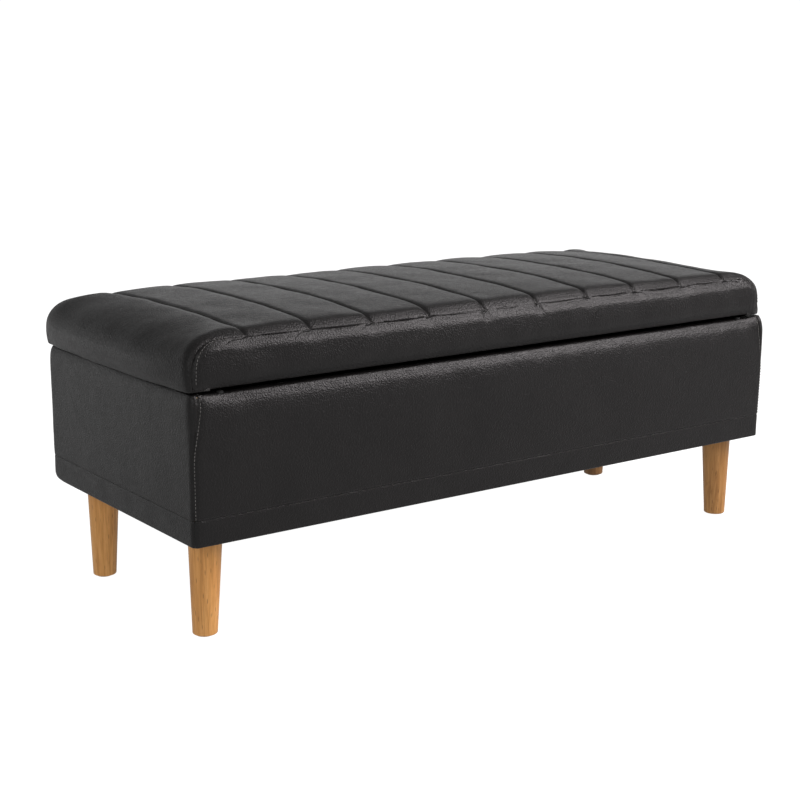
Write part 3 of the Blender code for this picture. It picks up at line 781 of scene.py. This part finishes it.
def build_boxing(name, seam_points, side, replaces, seed):
    """A band under the top panel's seam: a soft roll down from it, a face, and a turned-under edge.

    seam_points run along the top panel's edge from the left underside over to the right one.
    """
    outline = seam_points[seam_points[:, 2] > LID_BOTTOM + UNDER_TURN + 0.0001]
    lengths = arc_lengths(outline)
    total = lengths[-1]
    top = outline[(lengths >= BOXING_END - 1e-9) & (lengths <= total - BOXING_END + 1e-9)]
    left = np.concatenate([outline[lengths <= BOXING_END], top[:1]])
    right = np.concatenate([outline[lengths >= total - BOXING_END][::-1], top[-1:]])
    sheet = sheet_inside(left, right, top)
    x, z = sheet[..., 0], sheet[..., 2]
    left_edge, right_edge = sheet[:, 0], sheet[:, -1]
    face = HALF_Y + 0.0004 + BOXING_BULGE * np.exp(-(((z - 0.402) / 0.020) ** 2))
    offsets = sheet[..., [0, 2]].reshape(-1, 1, 2) - outline[:, [0, 2]]
    gap = np.linalg.norm(offsets, axis=2)
    distance = gap.min(1).reshape(x.shape)
    seam = np.abs(outline[:, 1])[gap.argmin(1)].reshape(x.shape)
    for _ in range(3):
        seam[:, 1:-1] = (seam[:, :-2] + seam[:, 1:-1] + seam[:, 2:]) / 3
    amount = np.maximum(face - seam, 0.0)
    reach = 0.010 + 0.021 * smooth((amount - 0.006) / 0.016)
    roll = amount * (1.0 - np.clip(distance / reach, 0.0, 1.0)) ** 1.5
    rise = np.clip((z - LID_BOTTOM) / BOXING_TUCK_HEIGHT, 0.0, 1.0)
    tuck = BOXING_TUCK * (1.0 - np.sqrt(1.0 - (1.0 - rise) ** 2))
    from_end = np.minimum(x - x[:, :1], x[:, -1:] - x)
    y = face - roll - tuck * (0.05 + 0.95 * smooth(from_end / 0.050))
    for _ in range(4):
        around = y[:-2, 1:-1] + y[2:, 1:-1] + y[1:-1, :-2] + y[1:-1, 2:]
        y[1:-1, 1:-1] = (4 * y[1:-1, 1:-1] + around) / 8
    y[-1] = np.abs(top[:, 1])
    y[:, 0] = np.minimum(y[:, 0], np.abs(left_edge[:, 1]))
    y[:, -1] = np.minimum(y[:, -1], np.abs(right_edge[:, 1]))
    points = np.stack([x, side * y, z], -1)
    normals = grid_normals(points)
    if normals[BOXING_ROWS // 2, len(top) // 2, 1] * side < 0:
        normals = -normals
    along = np.abs(x)
    gathered = smooth((along - 0.485) / 0.030) * np.exp(-distance / 0.011)
    depth = np.where(x > 0, 0.0014, 0.0005) * gathered
    pucker = depth * np.sin(along * 2 * math.pi / PUCKER_PITCH + 0.6)
    slow = 0.0008 * undulation(points, 0.075, seed) * smooth(distance / 0.012)
    dip = seam_sink_at(x) * beside_seam(distance)
    points = points + normals * (pucker + slow - dip)[..., None]
    rows = [(points[2:-2, column], normals[2:-2, column], *CORNER_STITCH) for column in (1, -2)]
    stitches(f"{name}_corner_stitches", rows, "lid", material="knot")
    turned_top = points[-1:] - normals[-1:] * TURNED_IN
    under = []
    for inset, lift in ((UNDER_WIDTH, 0.0), (0.016, 0.0), (0.008, 0.0), (0.0015, 0.0), (0.0, 0.0008)):
        row = points[:1].copy()
        limit = HALF_X - 0.008 - inset
        row[..., 0] = np.clip(row[..., 0], -limit, limit)
        row[..., 1] = side * (np.abs(row[..., 1]) - inset - 0.0010)
        row[..., 2] = LID_BOTTOM + BOXING_RAISE + lift
        under.append(row)
    panel = leather_panel(name, np.concatenate([*under, points, turned_top], 0), -side)
    dress(panel, "lid_leather", "faux_leather", "lid", replaces)


# ---- The box's covers
def straight(start, end, normal, step):
    count = max(2, int(round(math.dist(start, end) / step)) + 1)
    t = np.linspace(0.0, 1.0, count)[:, None]
    points = np.array(start)[None, :] * (1 - t) + np.array(end)[None, :] * t
    return points, np.repeat(np.array(normal, float)[None, :], count, 0)


def corner_arc(sign_x, sign_y, radius, start, end, count):
    """Part of a rounded plan corner, between two directions in degrees."""
    angles = np.radians(np.linspace(start, end, count))
    normals = np.stack([np.cos(angles), np.sin(angles)], -1)
    centre = np.array([sign_x * (HALF_X - radius), sign_y * (HALF_Y - radius)])
    return centre + radius * normals, normals


def joined(*runs):
    points, normals = [], []
    for run_points, run_normals in runs:
        skip = 1 if points else 0
        points.append(run_points[skip:])
        normals.append(run_normals[skip:])
    return np.concatenate(points), np.concatenate(normals)


def front_run():
    r = FRONT_CORNER
    return joined(
        corner_arc(-1, -1, r, 225, 270, 9),
        straight((-HALF_X + r, -HALF_Y), (HALF_X - r, -HALF_Y), (0, -1), 0.0075),
        corner_arc(1, -1, r, 270, 315, 9),
    )


def right_run():
    r, q = FRONT_CORNER, REAR_CORNER
    return joined(
        corner_arc(1, -1, r, 315, 360, 9),
        straight((HALF_X, -HALF_Y + r), (HALF_X, HALF_Y - q), (1, 0), 0.0075),
        corner_arc(1, 1, q, 0, 90, 17),
        straight((HALF_X - q, HALF_Y), (REAR_SEAM_X, HALF_Y), (0, 1), 0.0035),
    )


def left_run():
    points, normals = right_run()
    mirror = np.array([-1.0, 1.0])
    return (points * mirror)[::-1], (normals * mirror)[::-1]


def rear_run():
    return straight((REAR_SEAM_X, HALF_Y), (-REAR_SEAM_X, HALF_Y), (0, 1), 0.0075)


def face_inset(z, normal):
    """How far in from the outline the leather lies at each height: the faces swell, the ends stand out."""
    z = z[:, None]
    ends = np.abs(normal[:, 0])
    fullness = np.where(normal[:, 0] < 0, 0.0, RIGHT_FULLNESS)
    taper = 0.0004 - fullness * smooth((z - 0.165) / 0.125)
    swell = -0.0024 * np.sin(math.pi * np.clip((z - 0.160) / 0.235, 0, 1)) ** 0.8
    return ends * taper + (1.0 - ends) * swell


def lean_at(heights):
    """How far along the front the corner seams lean, towards the top of the box."""
    return SEAM_LEAN * smooth((heights - 0.270) / 0.094)


def plan_path():
    """The whole outline from the front left seam, round by the front: lengths, points and normals."""
    points, normals = joined(front_run(), right_run(), rear_run(), left_run())
    return arc_lengths(points), points, normals


def leaned_plan(run, start, heights, lean_start, lean_end):
    """A run's outline and normals at every row, its ends moved along it as the seams lean."""
    lengths, points, normals = plan_path()
    s = start + arc_lengths(run[0])
    from_start = s - s[0]
    from_end = s[-1] - s
    pull = lean_start * (1 - smooth(from_start / 0.070)) + lean_end * (1 - smooth(from_end / 0.070))
    rows = (s[None, :] + lean_at(heights)[:, None] * pull[None, :]) % lengths[-1]
    facing = at_length(normals, lengths, rows)
    facing /= np.linalg.norm(facing, axis=-1, keepdims=True)
    return at_length(points, lengths, rows), facing


def place_rows(plan, insets, heights):
    """Points at each row's inset and height; deep insets stay inside the mitred corners."""
    outline, normals = plan
    place = outline - insets[..., None] * normals
    deep = insets > 0
    for axis, half in ((0, HALF_X), (1, HALF_Y)):
        limit = np.where(deep, half - insets, 9.0)
        place[..., axis] = np.clip(place[..., axis], -limit, limit)
    z = np.broadcast_to(heights[:, None], insets.shape)
    return np.concatenate([place, z[..., None]], -1)


def relieve_rim(points):
    """Between the front corners the leather is pulled down and in over the board's eased edge."""
    x, y, z = points[..., 0], points[..., 1], points[..., 2]
    front = smooth((-y - 0.195) / 0.035)
    share = RIM_RELIEF * smooth((HALF_X - np.abs(x)) / 0.060) * front
    outer = 1.0 - smooth((y + HALF_Y - 0.008) / 0.008)
    moved = points.copy()
    moved[..., 1] += share * outer * smooth((z - 0.333) / 0.032)
    moved[..., 2] -= share * smooth((z - 0.348) / 0.018) + RIM_LOWER * front * smooth((z - 0.345) / 0.020)
    return moved


def dip_ends(points, run_length, dip_rows):
    """Dips the leather beside the run's two ends, and turns both edges in."""
    normals, _ = outward_normals(points)
    near = np.minimum(run_length, run_length[-1] - run_length)
    dip = SEAM_SINK * 1.1 * beside_seam(near) * dip_rows[:, None]
    points = points - normals * dip[..., None]
    turn = normals * TURNED_IN * dip_rows[:, None, None]
    return np.concatenate([points[:, :1] - turn[:, :1], points, points[:, -1:] - turn[:, -1:]], 1), normals


def outward_guess(points):
    """A direction away from the middle of the box, good enough to tell out from in."""
    return (points - np.array([0.0, 0.0, 0.26])) / np.array([HALF_X, HALF_Y, 0.11]) ** 2


def outward_normals(points):
    """A grid's normals turned to look out of the box, and +1 if its faces already do."""
    normals = grid_normals(points)
    sign = 1.0 if np.median(np.sum(normals * outward_guess(points), -1)) > 0 else -1.0
    return normals * sign, sign


def finish_cover(name, points, replaces):
    """Turns a box panel's first row in and makes the grid a sheet of leather stretched on its board."""
    inward = outward_guess(points[:1])
    inward[..., 2] = 0.0
    inward /= np.linalg.norm(inward, axis=-1, keepdims=True)
    points = np.concatenate([points[:1] - inward * RAW_EDGE, points], 0)
    panel = leather_panel(name, points, outward_normals(points)[1])
    dress(panel, "box_leather", "faux_leather", "box", replaces)


def cover_panel(name, run, start, leans, replaces, seed):
    """A wall's leather: down inside the rim, over it in a big soft roll, and down to the hem seam."""
    outline, plan_normals = run
    low = HEM_SEAM_Z + SEAM_GAP
    face_z = spaced(low, RIM_Z - RIM_HEIGHT, 0.0055)
    face_z = np.unique(np.concatenate([face_z, low + np.array([0.0008, 0.0018, 0.0032])]))
    face = face_inset(face_z, plan_normals)
    roll = np.linspace(0.0, math.pi / 2, 17)[1:, None]
    place = np.column_stack([outline, np.zeros(len(outline))])
    wave = -0.0006 * (1.0 + undulation(place, 0.050, seed)) * (1.0 - 0.6 * np.abs(plan_normals[:, 0]))
    turn = (1 - RIM_BEVEL) * (1 - np.cos(roll)) + RIM_BEVEL * np.sin(roll)
    rolls = face[-1:] + (RIM_WIDTH - face[-1:]) * turn + wave * np.sin(2 * roll)
    roll_z = RIM_Z - RIM_HEIGHT * (1 - np.sin(roll[:, 0]))
    lip_angles = np.linspace(0.0, math.pi / 2, 5)[1:]
    lip = RIM_FLAT + (RIM_INSIDE - RIM_FLAT) * np.sin(lip_angles)
    lip_z = RIM_Z - (RIM_INSIDE - RIM_FLAT) * (1 - np.cos(lip_angles))
    inner = np.concatenate([[0.011, 0.015, RIM_FLAT], lip, np.full(3, RIM_INSIDE)])
    insets = np.concatenate([face, rolls, np.repeat(inner[:, None], len(outline), 1)])
    heights = np.concatenate([face_z, roll_z, np.full(3, RIM_Z), lip_z, [0.360, 0.350, RIM_DROP]])
    points = relieve_rim(place_rows(leaned_plan(run, start, heights, *leans), insets, heights))
    normals, _ = outward_normals(points)
    above = (heights - HEM_SEAM_Z)[:, None]
    length = arc_lengths(outline)
    near = np.minimum(length, length[-1] - length)
    fade = smooth(near / 0.02) * smooth(above / 0.012) * smooth((RIM_Z - heights) / 0.010)[:, None]
    uneven = 0.0004 * undulation(points, 0.095, seed + 3) + 0.00012 * undulation(points, 0.028, seed + 4)
    points = points + normals * (uneven * fade - HEM_SEAM_SINK * beside_seam(above))[..., None]
    dip_rows = np.where(heights >= RIM_Z - 1e-6, 0.4, 1.0)
    dip_rows[-7:] = 0.0
    points, normals = dip_ends(points, length, dip_rows)
    if name.startswith("front"):
        lines = ((points[1:-9, 4], normals[1:-9, 3]), (points[1:-9, -5], normals[1:-9, -4]))
        rows = [(*line, *CORNER_STITCH) for line in lines]
        stitches("box_corner_stitches", rows, "box", material="knot")
    finish_cover(name, points, replaces)


def hem_panel(name, run, replaces, seed):
    """The narrow strip sewn along the bottom, rounded at its lower edge and turned under the box."""
    outline, plan_normals = run
    length = arc_lengths(outline)
    top = HEM_SEAM_Z - SEAM_GAP
    beside = top - np.array([0.0, 0.0008, 0.0018, 0.0032, 0.0060])
    heights = np.concatenate([beside, np.linspace(HEM_SEAM_Z - 0.0095, BOX_BOTTOM + 0.020, 4)])
    face = face_inset(heights, plan_normals)
    from_corner = np.hypot(np.abs(outline[:, 0]) - HALF_X + 0.006, outline[:, 1] - HALF_Y + 0.006)
    at_corner = np.exp(-((from_corner / 0.022) ** 2))
    angles = np.linspace(0.0, math.pi / 2, 10)[1:, None]
    rolled = face[-1] + (0.0030 + 0.0048 * at_corner) * (1 - np.cos(angles))
    roll_z = BOX_BOTTOM + (0.0030 + 0.0130 * at_corner) * (1 - np.sin(angles))
    under = np.array([[0.012], [0.016], [HEM_UNDER]]) * np.ones(len(outline))
    insets = np.concatenate([face, rolled, under])
    rows = np.ones((len(insets), 1, 1))
    points = place_rows((outline * rows, plan_normals * rows), insets, np.zeros(len(insets)))
    z = np.concatenate([heights[:, None] * np.ones(len(outline)), roll_z, np.full(under.shape, BOX_BOTTOM)])
    points[..., 2] = z
    normals, _ = outward_normals(points)
    below = top - z
    near = np.minimum(length, length[-1] - length)
    fade = smooth(near / 0.02) * smooth(below / 0.010) * smooth((z - BOX_BOTTOM) / 0.012)
    uneven = 0.0005 * undulation(points, 0.060, seed)
    points = points + normals * (uneven * fade - HEM_SEAM_SINK * beside_seam(below))[..., None]
    dip_rows = np.ones(len(insets))
    dip_rows[-4:] = 0.0
    points, _ = dip_ends(points, length, dip_rows)
    finish_cover(name, points, replaces)


def seam_stitches():
    """Stitch loops just above the hem seam, all the way round the box."""
    rows = []
    for outline, plan_normals in (front_run(), right_run(), rear_run(), left_run()):
        z = np.array([HEM_SEAM_Z + 0.0021])
        insets = face_inset(z, plan_normals) + SEAM_SINK * 0.25
        line = place_rows((outline[None], plan_normals[None]), insets, z)[0]
        normals = np.column_stack([plan_normals, np.zeros(len(plan_normals))])
        rows.append((line, normals, *HEM_STITCH))
    stitches("hem_stitches", rows, "box")


# ---- Linings and dust cover
def cloth_piece(obj, replaces, body):
    thicken(obj, LINING_CLOTH)
    dress(obj, "lining", "lining", body, replaces)


def cloth_lines(half, notch):
    """Where a cloth's grid lines run, with one at each notch."""
    lines = spaced(-half, half, 0.012)
    if not notch:
        return lines
    inner = lines[np.abs(lines) < half - notch - 0.004]
    return np.unique(np.concatenate([inner, [half - notch, notch - half], lines[[0, -1]]]))


def flat_lining(name, half_x, half_y, z, up, puff, notch, replaces, body, seed):
    """A flat stapled cloth with its edge turned towards the board; its corners may be notched."""
    grid = np.stack(np.meshgrid(cloth_lines(half_x, notch), cloth_lines(half_y, notch)), -1)
    edge = np.minimum(half_x - np.abs(grid[..., 0]), half_y - np.abs(grid[..., 1]))
    place = np.concatenate([grid, np.zeros(grid.shape[:2] + (1,))], -1)
    free = smooth(edge / 0.030)
    height = (0.6 + 0.25 * undulation(place, 0.16, seed)) * free
    dimples = 0.12 * np.cos(2 * math.pi * (grid[..., 0] + grid[..., 1]) / 0.045) * np.exp(-edge / 0.012)
    place[..., 2] = z + up * puff * (height + dimples)
    vertices = place.reshape(-1, 3)
    faces = grid_faces(*place.shape[:2])[:, :: int(up)]
    middle = np.abs(vertices[faces].mean(1))
    corner = (middle[:, 0] > half_x - notch) & (middle[:, 1] > half_y - notch)
    obj = mesh_object(name, vertices, faces[~corner])
    with mesh_edit(obj) as bm:
        loose = [v for v in bm.verts if not v.link_faces]
        bmesh.ops.delete(bm, geom=loose, context="VERTS")
    cloth_piece(obj, replaces, body)


def wall_lining():
    """The cloth round the inside walls, folded round the corner battens, with a hem along its top."""
    low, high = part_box("lining_walls")
    half_x, half_y = high.x - 0.0002, high.y - 0.0002
    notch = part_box("corner_batten_front_left")[1].x + half_x + 0.0012
    in_x, in_y = half_x - notch, half_y - notch
    corners = [(-in_x, -half_y), (in_x, -half_y), (in_x, -in_y)]
    corners += [(half_x, -in_y), (half_x, in_y), (in_x, in_y)]
    corners += [(-x, -y) for x, y in corners]
    sides = zip(corners, corners[1:] + corners[:1])
    outline = np.concatenate([straight(here, there, (0, 0), 0.011)[0][:-1] for here, there in sides])
    hem_rows = high.z - np.array([0.0115, 0.010, 0.006, 0.0015, 0.0])
    heights = np.concatenate([spaced(low.z, high.z - 0.013, 0.011), hem_rows])
    at_wall = np.abs(outline) > np.array([half_x, half_y]) - 0.001
    towards = -np.sign(outline) * at_wall
    rows = []
    for z in heights:
        place = np.column_stack([outline, np.full(len(outline), z)])
        share = smooth((z - low.z) / 0.03) * smooth((high.z - z) / 0.03)
        puff = 0.0011 * share * (0.6 + 0.5 * undulation(place, 0.10, 91))
        puff = puff + (0.0004 if high.z - 0.0112 < z < high.z - 0.001 else 0.0)
        place[:, :2] += towards * puff[:, None]
        rows.append(place)
    points = np.stack(rows)
    faces = grid_faces(*points.shape[:2], closed=True)
    obj = mesh_object("wall_lining_cloth", points.reshape(-1, 3), faces[:, ::-1])
    cloth_piece(obj, "lining_walls", "box")


def lid_board_panel():
    """The lid's board, with its corners rounded so that the leather can be drawn in round them."""
    low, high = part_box("lid_board")
    corner = 0.030
    ease = 0.0010
    profile = [(0.0090, 0.0), (0.0045, 0.0020), (0.0015, 0.0055), (0.0, 0.0095)]
    profile += [(0.0, high.z - low.z - ease), (ease, high.z - low.z)]
    rings = []
    for inset, rise in profile:
        ring = []
        for sign_x, sign_y, start in ((1, 1, 0), (-1, 1, 90), (-1, -1, 180), (1, -1, 270)):
            for angle in np.radians(np.linspace(start, start + 90, 11)):
                x = sign_x * (high.x - corner) + (corner - inset) * math.cos(angle)
                y = sign_y * (high.y - corner) + (corner - inset) * math.sin(angle)
                ring.append((x, y, low.z + rise))
        rings.append(ring)
    board = loft("lid_board_panel", rings)
    board.data.shade_flat()
    dress(board, "board", "board", "lid", "lid_board")


def front_board_panel():
    """The front board, with the outer edge of its top eased so that the leather rolls softly over it."""
    low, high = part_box("front_board")
    top = high.z - 0.0040
    ease = 0.0090
    profile = [(low.y, low.z), (high.y, low.z), (high.y, top)]
    for angle in np.radians(np.linspace(0, 90, 9)):
        profile.append((low.y + ease - ease * math.sin(angle), top - ease + ease * math.cos(angle)))
    board = loft("front_board_panel", [[(x, y, z) for y, z in profile] for x in (low.x, high.x)])
    board.data.shade_flat()
    dress(board, "board", "board", "box", "front_board")


def rim_bumper(corner):
    """A domed rubber bumper pressed into the leather of the rim."""
    low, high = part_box(f"rim_bumper_{corner}")
    radius = (high.x - low.x) / 2
    foot = RIM_Z - RIM_LOWER - RIM_RELIEF - 0.0008
    crown = high.z - RIM_RELIEF + 0.0005
    profile = [(0.0, 0.0, crown)]
    for angle in np.radians([20, 40, 60, 75, 90]):
        profile.append((radius * math.sin(angle), 0.0, crown - 0.0018 * (1 - math.cos(angle))))
    profile += [(radius * 1.04, 0.0, foot + 0.0004), (radius * 1.04, 0.0, foot)]
    bumper = lathe(f"rubber_bumper_{corner}", (low + high) / 2, profile, 32)
    dress(bumper, "rubber", "bumper_rubber", "box", f"rim_bumper_{corner}")


def build_linings():
    wall_lining()
    for name, node, up, puff, notch, board, body, seed in (
        ("floor_lining_cloth", "lining_floor", 1.0, 0.0009, 0.0203, "bottom_board", "box", 92),
        ("dust_cover_cloth", "dust_cover", -1.0, 0.0010, 0.0, "bottom_board", "box", 93),
        ("lid_lining_cloth", "lid_lining", -1.0, 0.0008, 0.0, "lid_board_panel", "lid", 94),
    ):
        low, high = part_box(node)
        z = high.z if up > 0 else low.z
        flat_lining(name, high.x, high.y, z, up, puff, notch, node, body, seed)


# ---- Legs
LEG_SHIFTS = {  # how far each leg's top and foot stand towards +x from where they are drawn
    "front_left": (0.0050, 0.0010),
    "front_right": (-0.0090, -0.0055),
    "rear_left": (0.0040, 0.0010),
    "rear_right": (0.0, 0.0),
}


def turned_leg(corner):
    """A straight tapered leg from the lathe, with softened arrises top and bottom."""
    low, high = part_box(f"leg_{corner}")
    top_radius = (high.x - low.x) / 2
    foot_radius = top_radius * 0.741
    height = high.z - low.z
    soft = 0.0022
    outline = [(0.0, 0.0), (foot_radius - 0.010, 0.0)]
    for angle in np.linspace(0.0, math.pi / 2, 7):
        outline.append((foot_radius - soft + soft * math.sin(angle), soft - soft * math.cos(angle)))
    for t in np.linspace(0.03, 0.97, 14):
        outline.append((foot_radius + (top_radius - foot_radius) * t, soft + (height - 1.6 * soft) * t))
    outline += [(top_radius, height - 0.0008), (top_radius - 0.0008, height), (0.0, height)]
    top_shift, foot_shift = LEG_SHIFTS[corner]
    lean = (top_shift - foot_shift) / height
    profile = [(radius, foot_shift + lean * rise, low.z + rise) for radius, rise in outline]
    leg = lathe(f"turned_leg_{corner}", (low + high) / 2, profile, 72)
    dress(leg, f"wood_{corner}", "leg_wood", "box", f"leg_{corner}")


# ---- Stage
CAMERA_PLACE = (-1.600, -2.153, 0.843)
CAMERA_YAW = 35.79
CAMERA_PITCH = 12.54
CAMERA_LENS = 72.62
WHITE = (1.0, 1.0, 1.0)
FLOOR_GLOW = 1.0  # what the camera sees
FLOOR_FILL = 0.40  # what lights the bench
WORLD_SEEN = 1.05
WORLD_HORIZON = (0.36, 0.36, 0.36)
WORLD_ZENITH = (0.30, 0.30, 0.30)
SOFTBOXES = (  # name, place, target, size, power, colour
    ("back_softbox", (2.20, 2.82, 1.15), (0.0, 0.0, 0.40), (2.6, 1.5), 6.2, WHITE),
    ("right_front_softbox", (1.53, -1.42, 2.00), (0.1, -0.2, 0.35), (1.3, 2.0), 86.0, (1.0, 0.94, 0.955)),
    ("left_softbox", (-2.1, 2.4, 1.25), (-0.5, 0.0, 0.4), (1.6, 0.8), 3.0, WHITE),
    ("camera_side_softbox", (-2.7, -2.4, 1.6), (-0.2, 0.0, 0.1), (1.6, 1.2), 20.0, WHITE),
    ("left_low_card", (-1.75, 1.75, 0.22), (-0.57, 0.0, 0.28), (1.5, 0.4), 1.6, WHITE),
)


def softbox(name, place, target, size, power, colour):
    light = bpy.data.lights.new(name, "AREA")
    light.shape = "RECTANGLE"
    light.size, light.size_y = size
    light.energy = power
    light.color = colour
    obj = link(bpy.data.objects.new(name, light))
    obj.location = place
    obj.rotation_euler = (Vector(target) - obj.location).to_track_quat("-Z", "Y").to_euler()
    obj.visible_camera = False


def studio_floor():
    """A pale floor, plain white to the camera."""
    corners = [(-30, -30, 0), (30, -30, 0), (30, 30, 0), (-30, 30, 0)]
    floor = mesh_object("studio_floor", corners, [(0, 1, 2, 3)])
    p = Paint("studio_floor_paint", 0.9, specular=0.1)
    colour = p.mix(p.noise(0.8, 2.0), (0.20, 0.20, 0.20), (0.23, 0.23, 0.23))
    p.surface.inputs["Emission Color"].default_value = (*WHITE, 1.0)
    seen = p.node("ShaderNodeLightPath").outputs["Is Camera Ray"]
    glow = p.remap(seen, 0.0, 1.0, FLOOR_FILL, FLOOR_GLOW)
    p.tree.links.new(glow, p.surface.inputs["Emission Strength"])
    floor.data.materials.append(p.finish(colour))


def studio_world():
    """A soft grey surround, plain white to the camera."""
    world = bpy.data.worlds.new("studio_world")
    bpy.context.scene.world = world
    world.use_nodes = True
    tree = world.node_tree
    tree.nodes.clear()
    place = add_node(tree, "ShaderNodeTexCoord").outputs["Generated"]
    height = add_node(tree, "ShaderNodeSeparateXYZ", {0: place}).outputs["Z"]
    tone = add_ramp(tree, height, [(0.0, WORLD_HORIZON), (0.9, WORLD_ZENITH)])
    fill = add_node(tree, "ShaderNodeBackground", {"Color": tone})
    seen = add_node(tree, "ShaderNodeBackground", {"Color": (*WHITE, 1.0), "Strength": WORLD_SEEN})
    camera_ray = add_node(tree, "ShaderNodeLightPath").outputs["Is Camera Ray"]
    mix = add_node(tree, "ShaderNodeMixShader", {0: camera_ray, 1: fill.outputs[0], 2: seen.outputs[0]})
    add_node(tree, "ShaderNodeOutputWorld", {"Surface": mix.outputs[0]})


def studio():
    studio_floor()
    studio_world()
    for box in SOFTBOXES:
        softbox(*box)
    camera = link(bpy.data.objects.new("camera", bpy.data.cameras.new("camera")))
    camera.data.lens = CAMERA_LENS
    camera.data.sensor_width = 36.0
    camera.data.clip_end = 60.0
    camera.location = CAMERA_PLACE
    camera.rotation_euler = (math.radians(90 - CAMERA_PITCH), 0.0, math.radians(-CAMERA_YAW))
    scene = bpy.context.scene
    scene.camera = camera
    scene.view_settings.view_transform = "Standard"


# ---- Assembly
KEPT_NODES = {  # materials of the CAD nodes that stay in view, by how their names start
    "bottom_board": "board",
    "rear_board": "board",
    "left_end_board": "board",
    "right_end_board": "board",
    "corner_batten": "board",
    "leg_plate": "steel",
    "leg_bolt": "steel",
    "hinge_": "steel",
    "leg_glide": "glide",
    "rim_bumper": "rubber",
}
for name, node in NODES.items():
    for start, material in KEPT_NODES.items():
        if name.startswith(start):
            paint(node, material)

top_points = build_lid_top()
build_boxing("lid_front_band", top_points[0], -1, "lid_front_boxing", 31)
build_boxing("lid_rear_band", top_points[-1], 1, "lid_rear_boxing", 37)
start = 0.0
for panel, run, leans, seed in (
    ("front", front_run(), (1.0, -1.0), 51),
    ("right_end", right_run(), (-1.0, 0.0), 52),
    ("rear", rear_run(), (0.0, 0.0), 53),
    ("left_end", left_run(), (0.0, 1.0), 54),
):
    cover_panel(f"{panel}_leather", run, start, leans, f"{panel}_cover", seed)
    hem_panel(f"{panel}_hem_strip", run, f"{panel}_hem", seed + 20)
    start += arc_lengths(run[0])[-1]
seam_stitches()
build_linings()
lid_board_panel()
front_board_panel()
for corner in ("front_left", "front_right"):
    rim_bumper(corner)
for corner in ("front_left", "front_right", "rear_left", "rear_right"):
    turned_leg(corner)
studio()
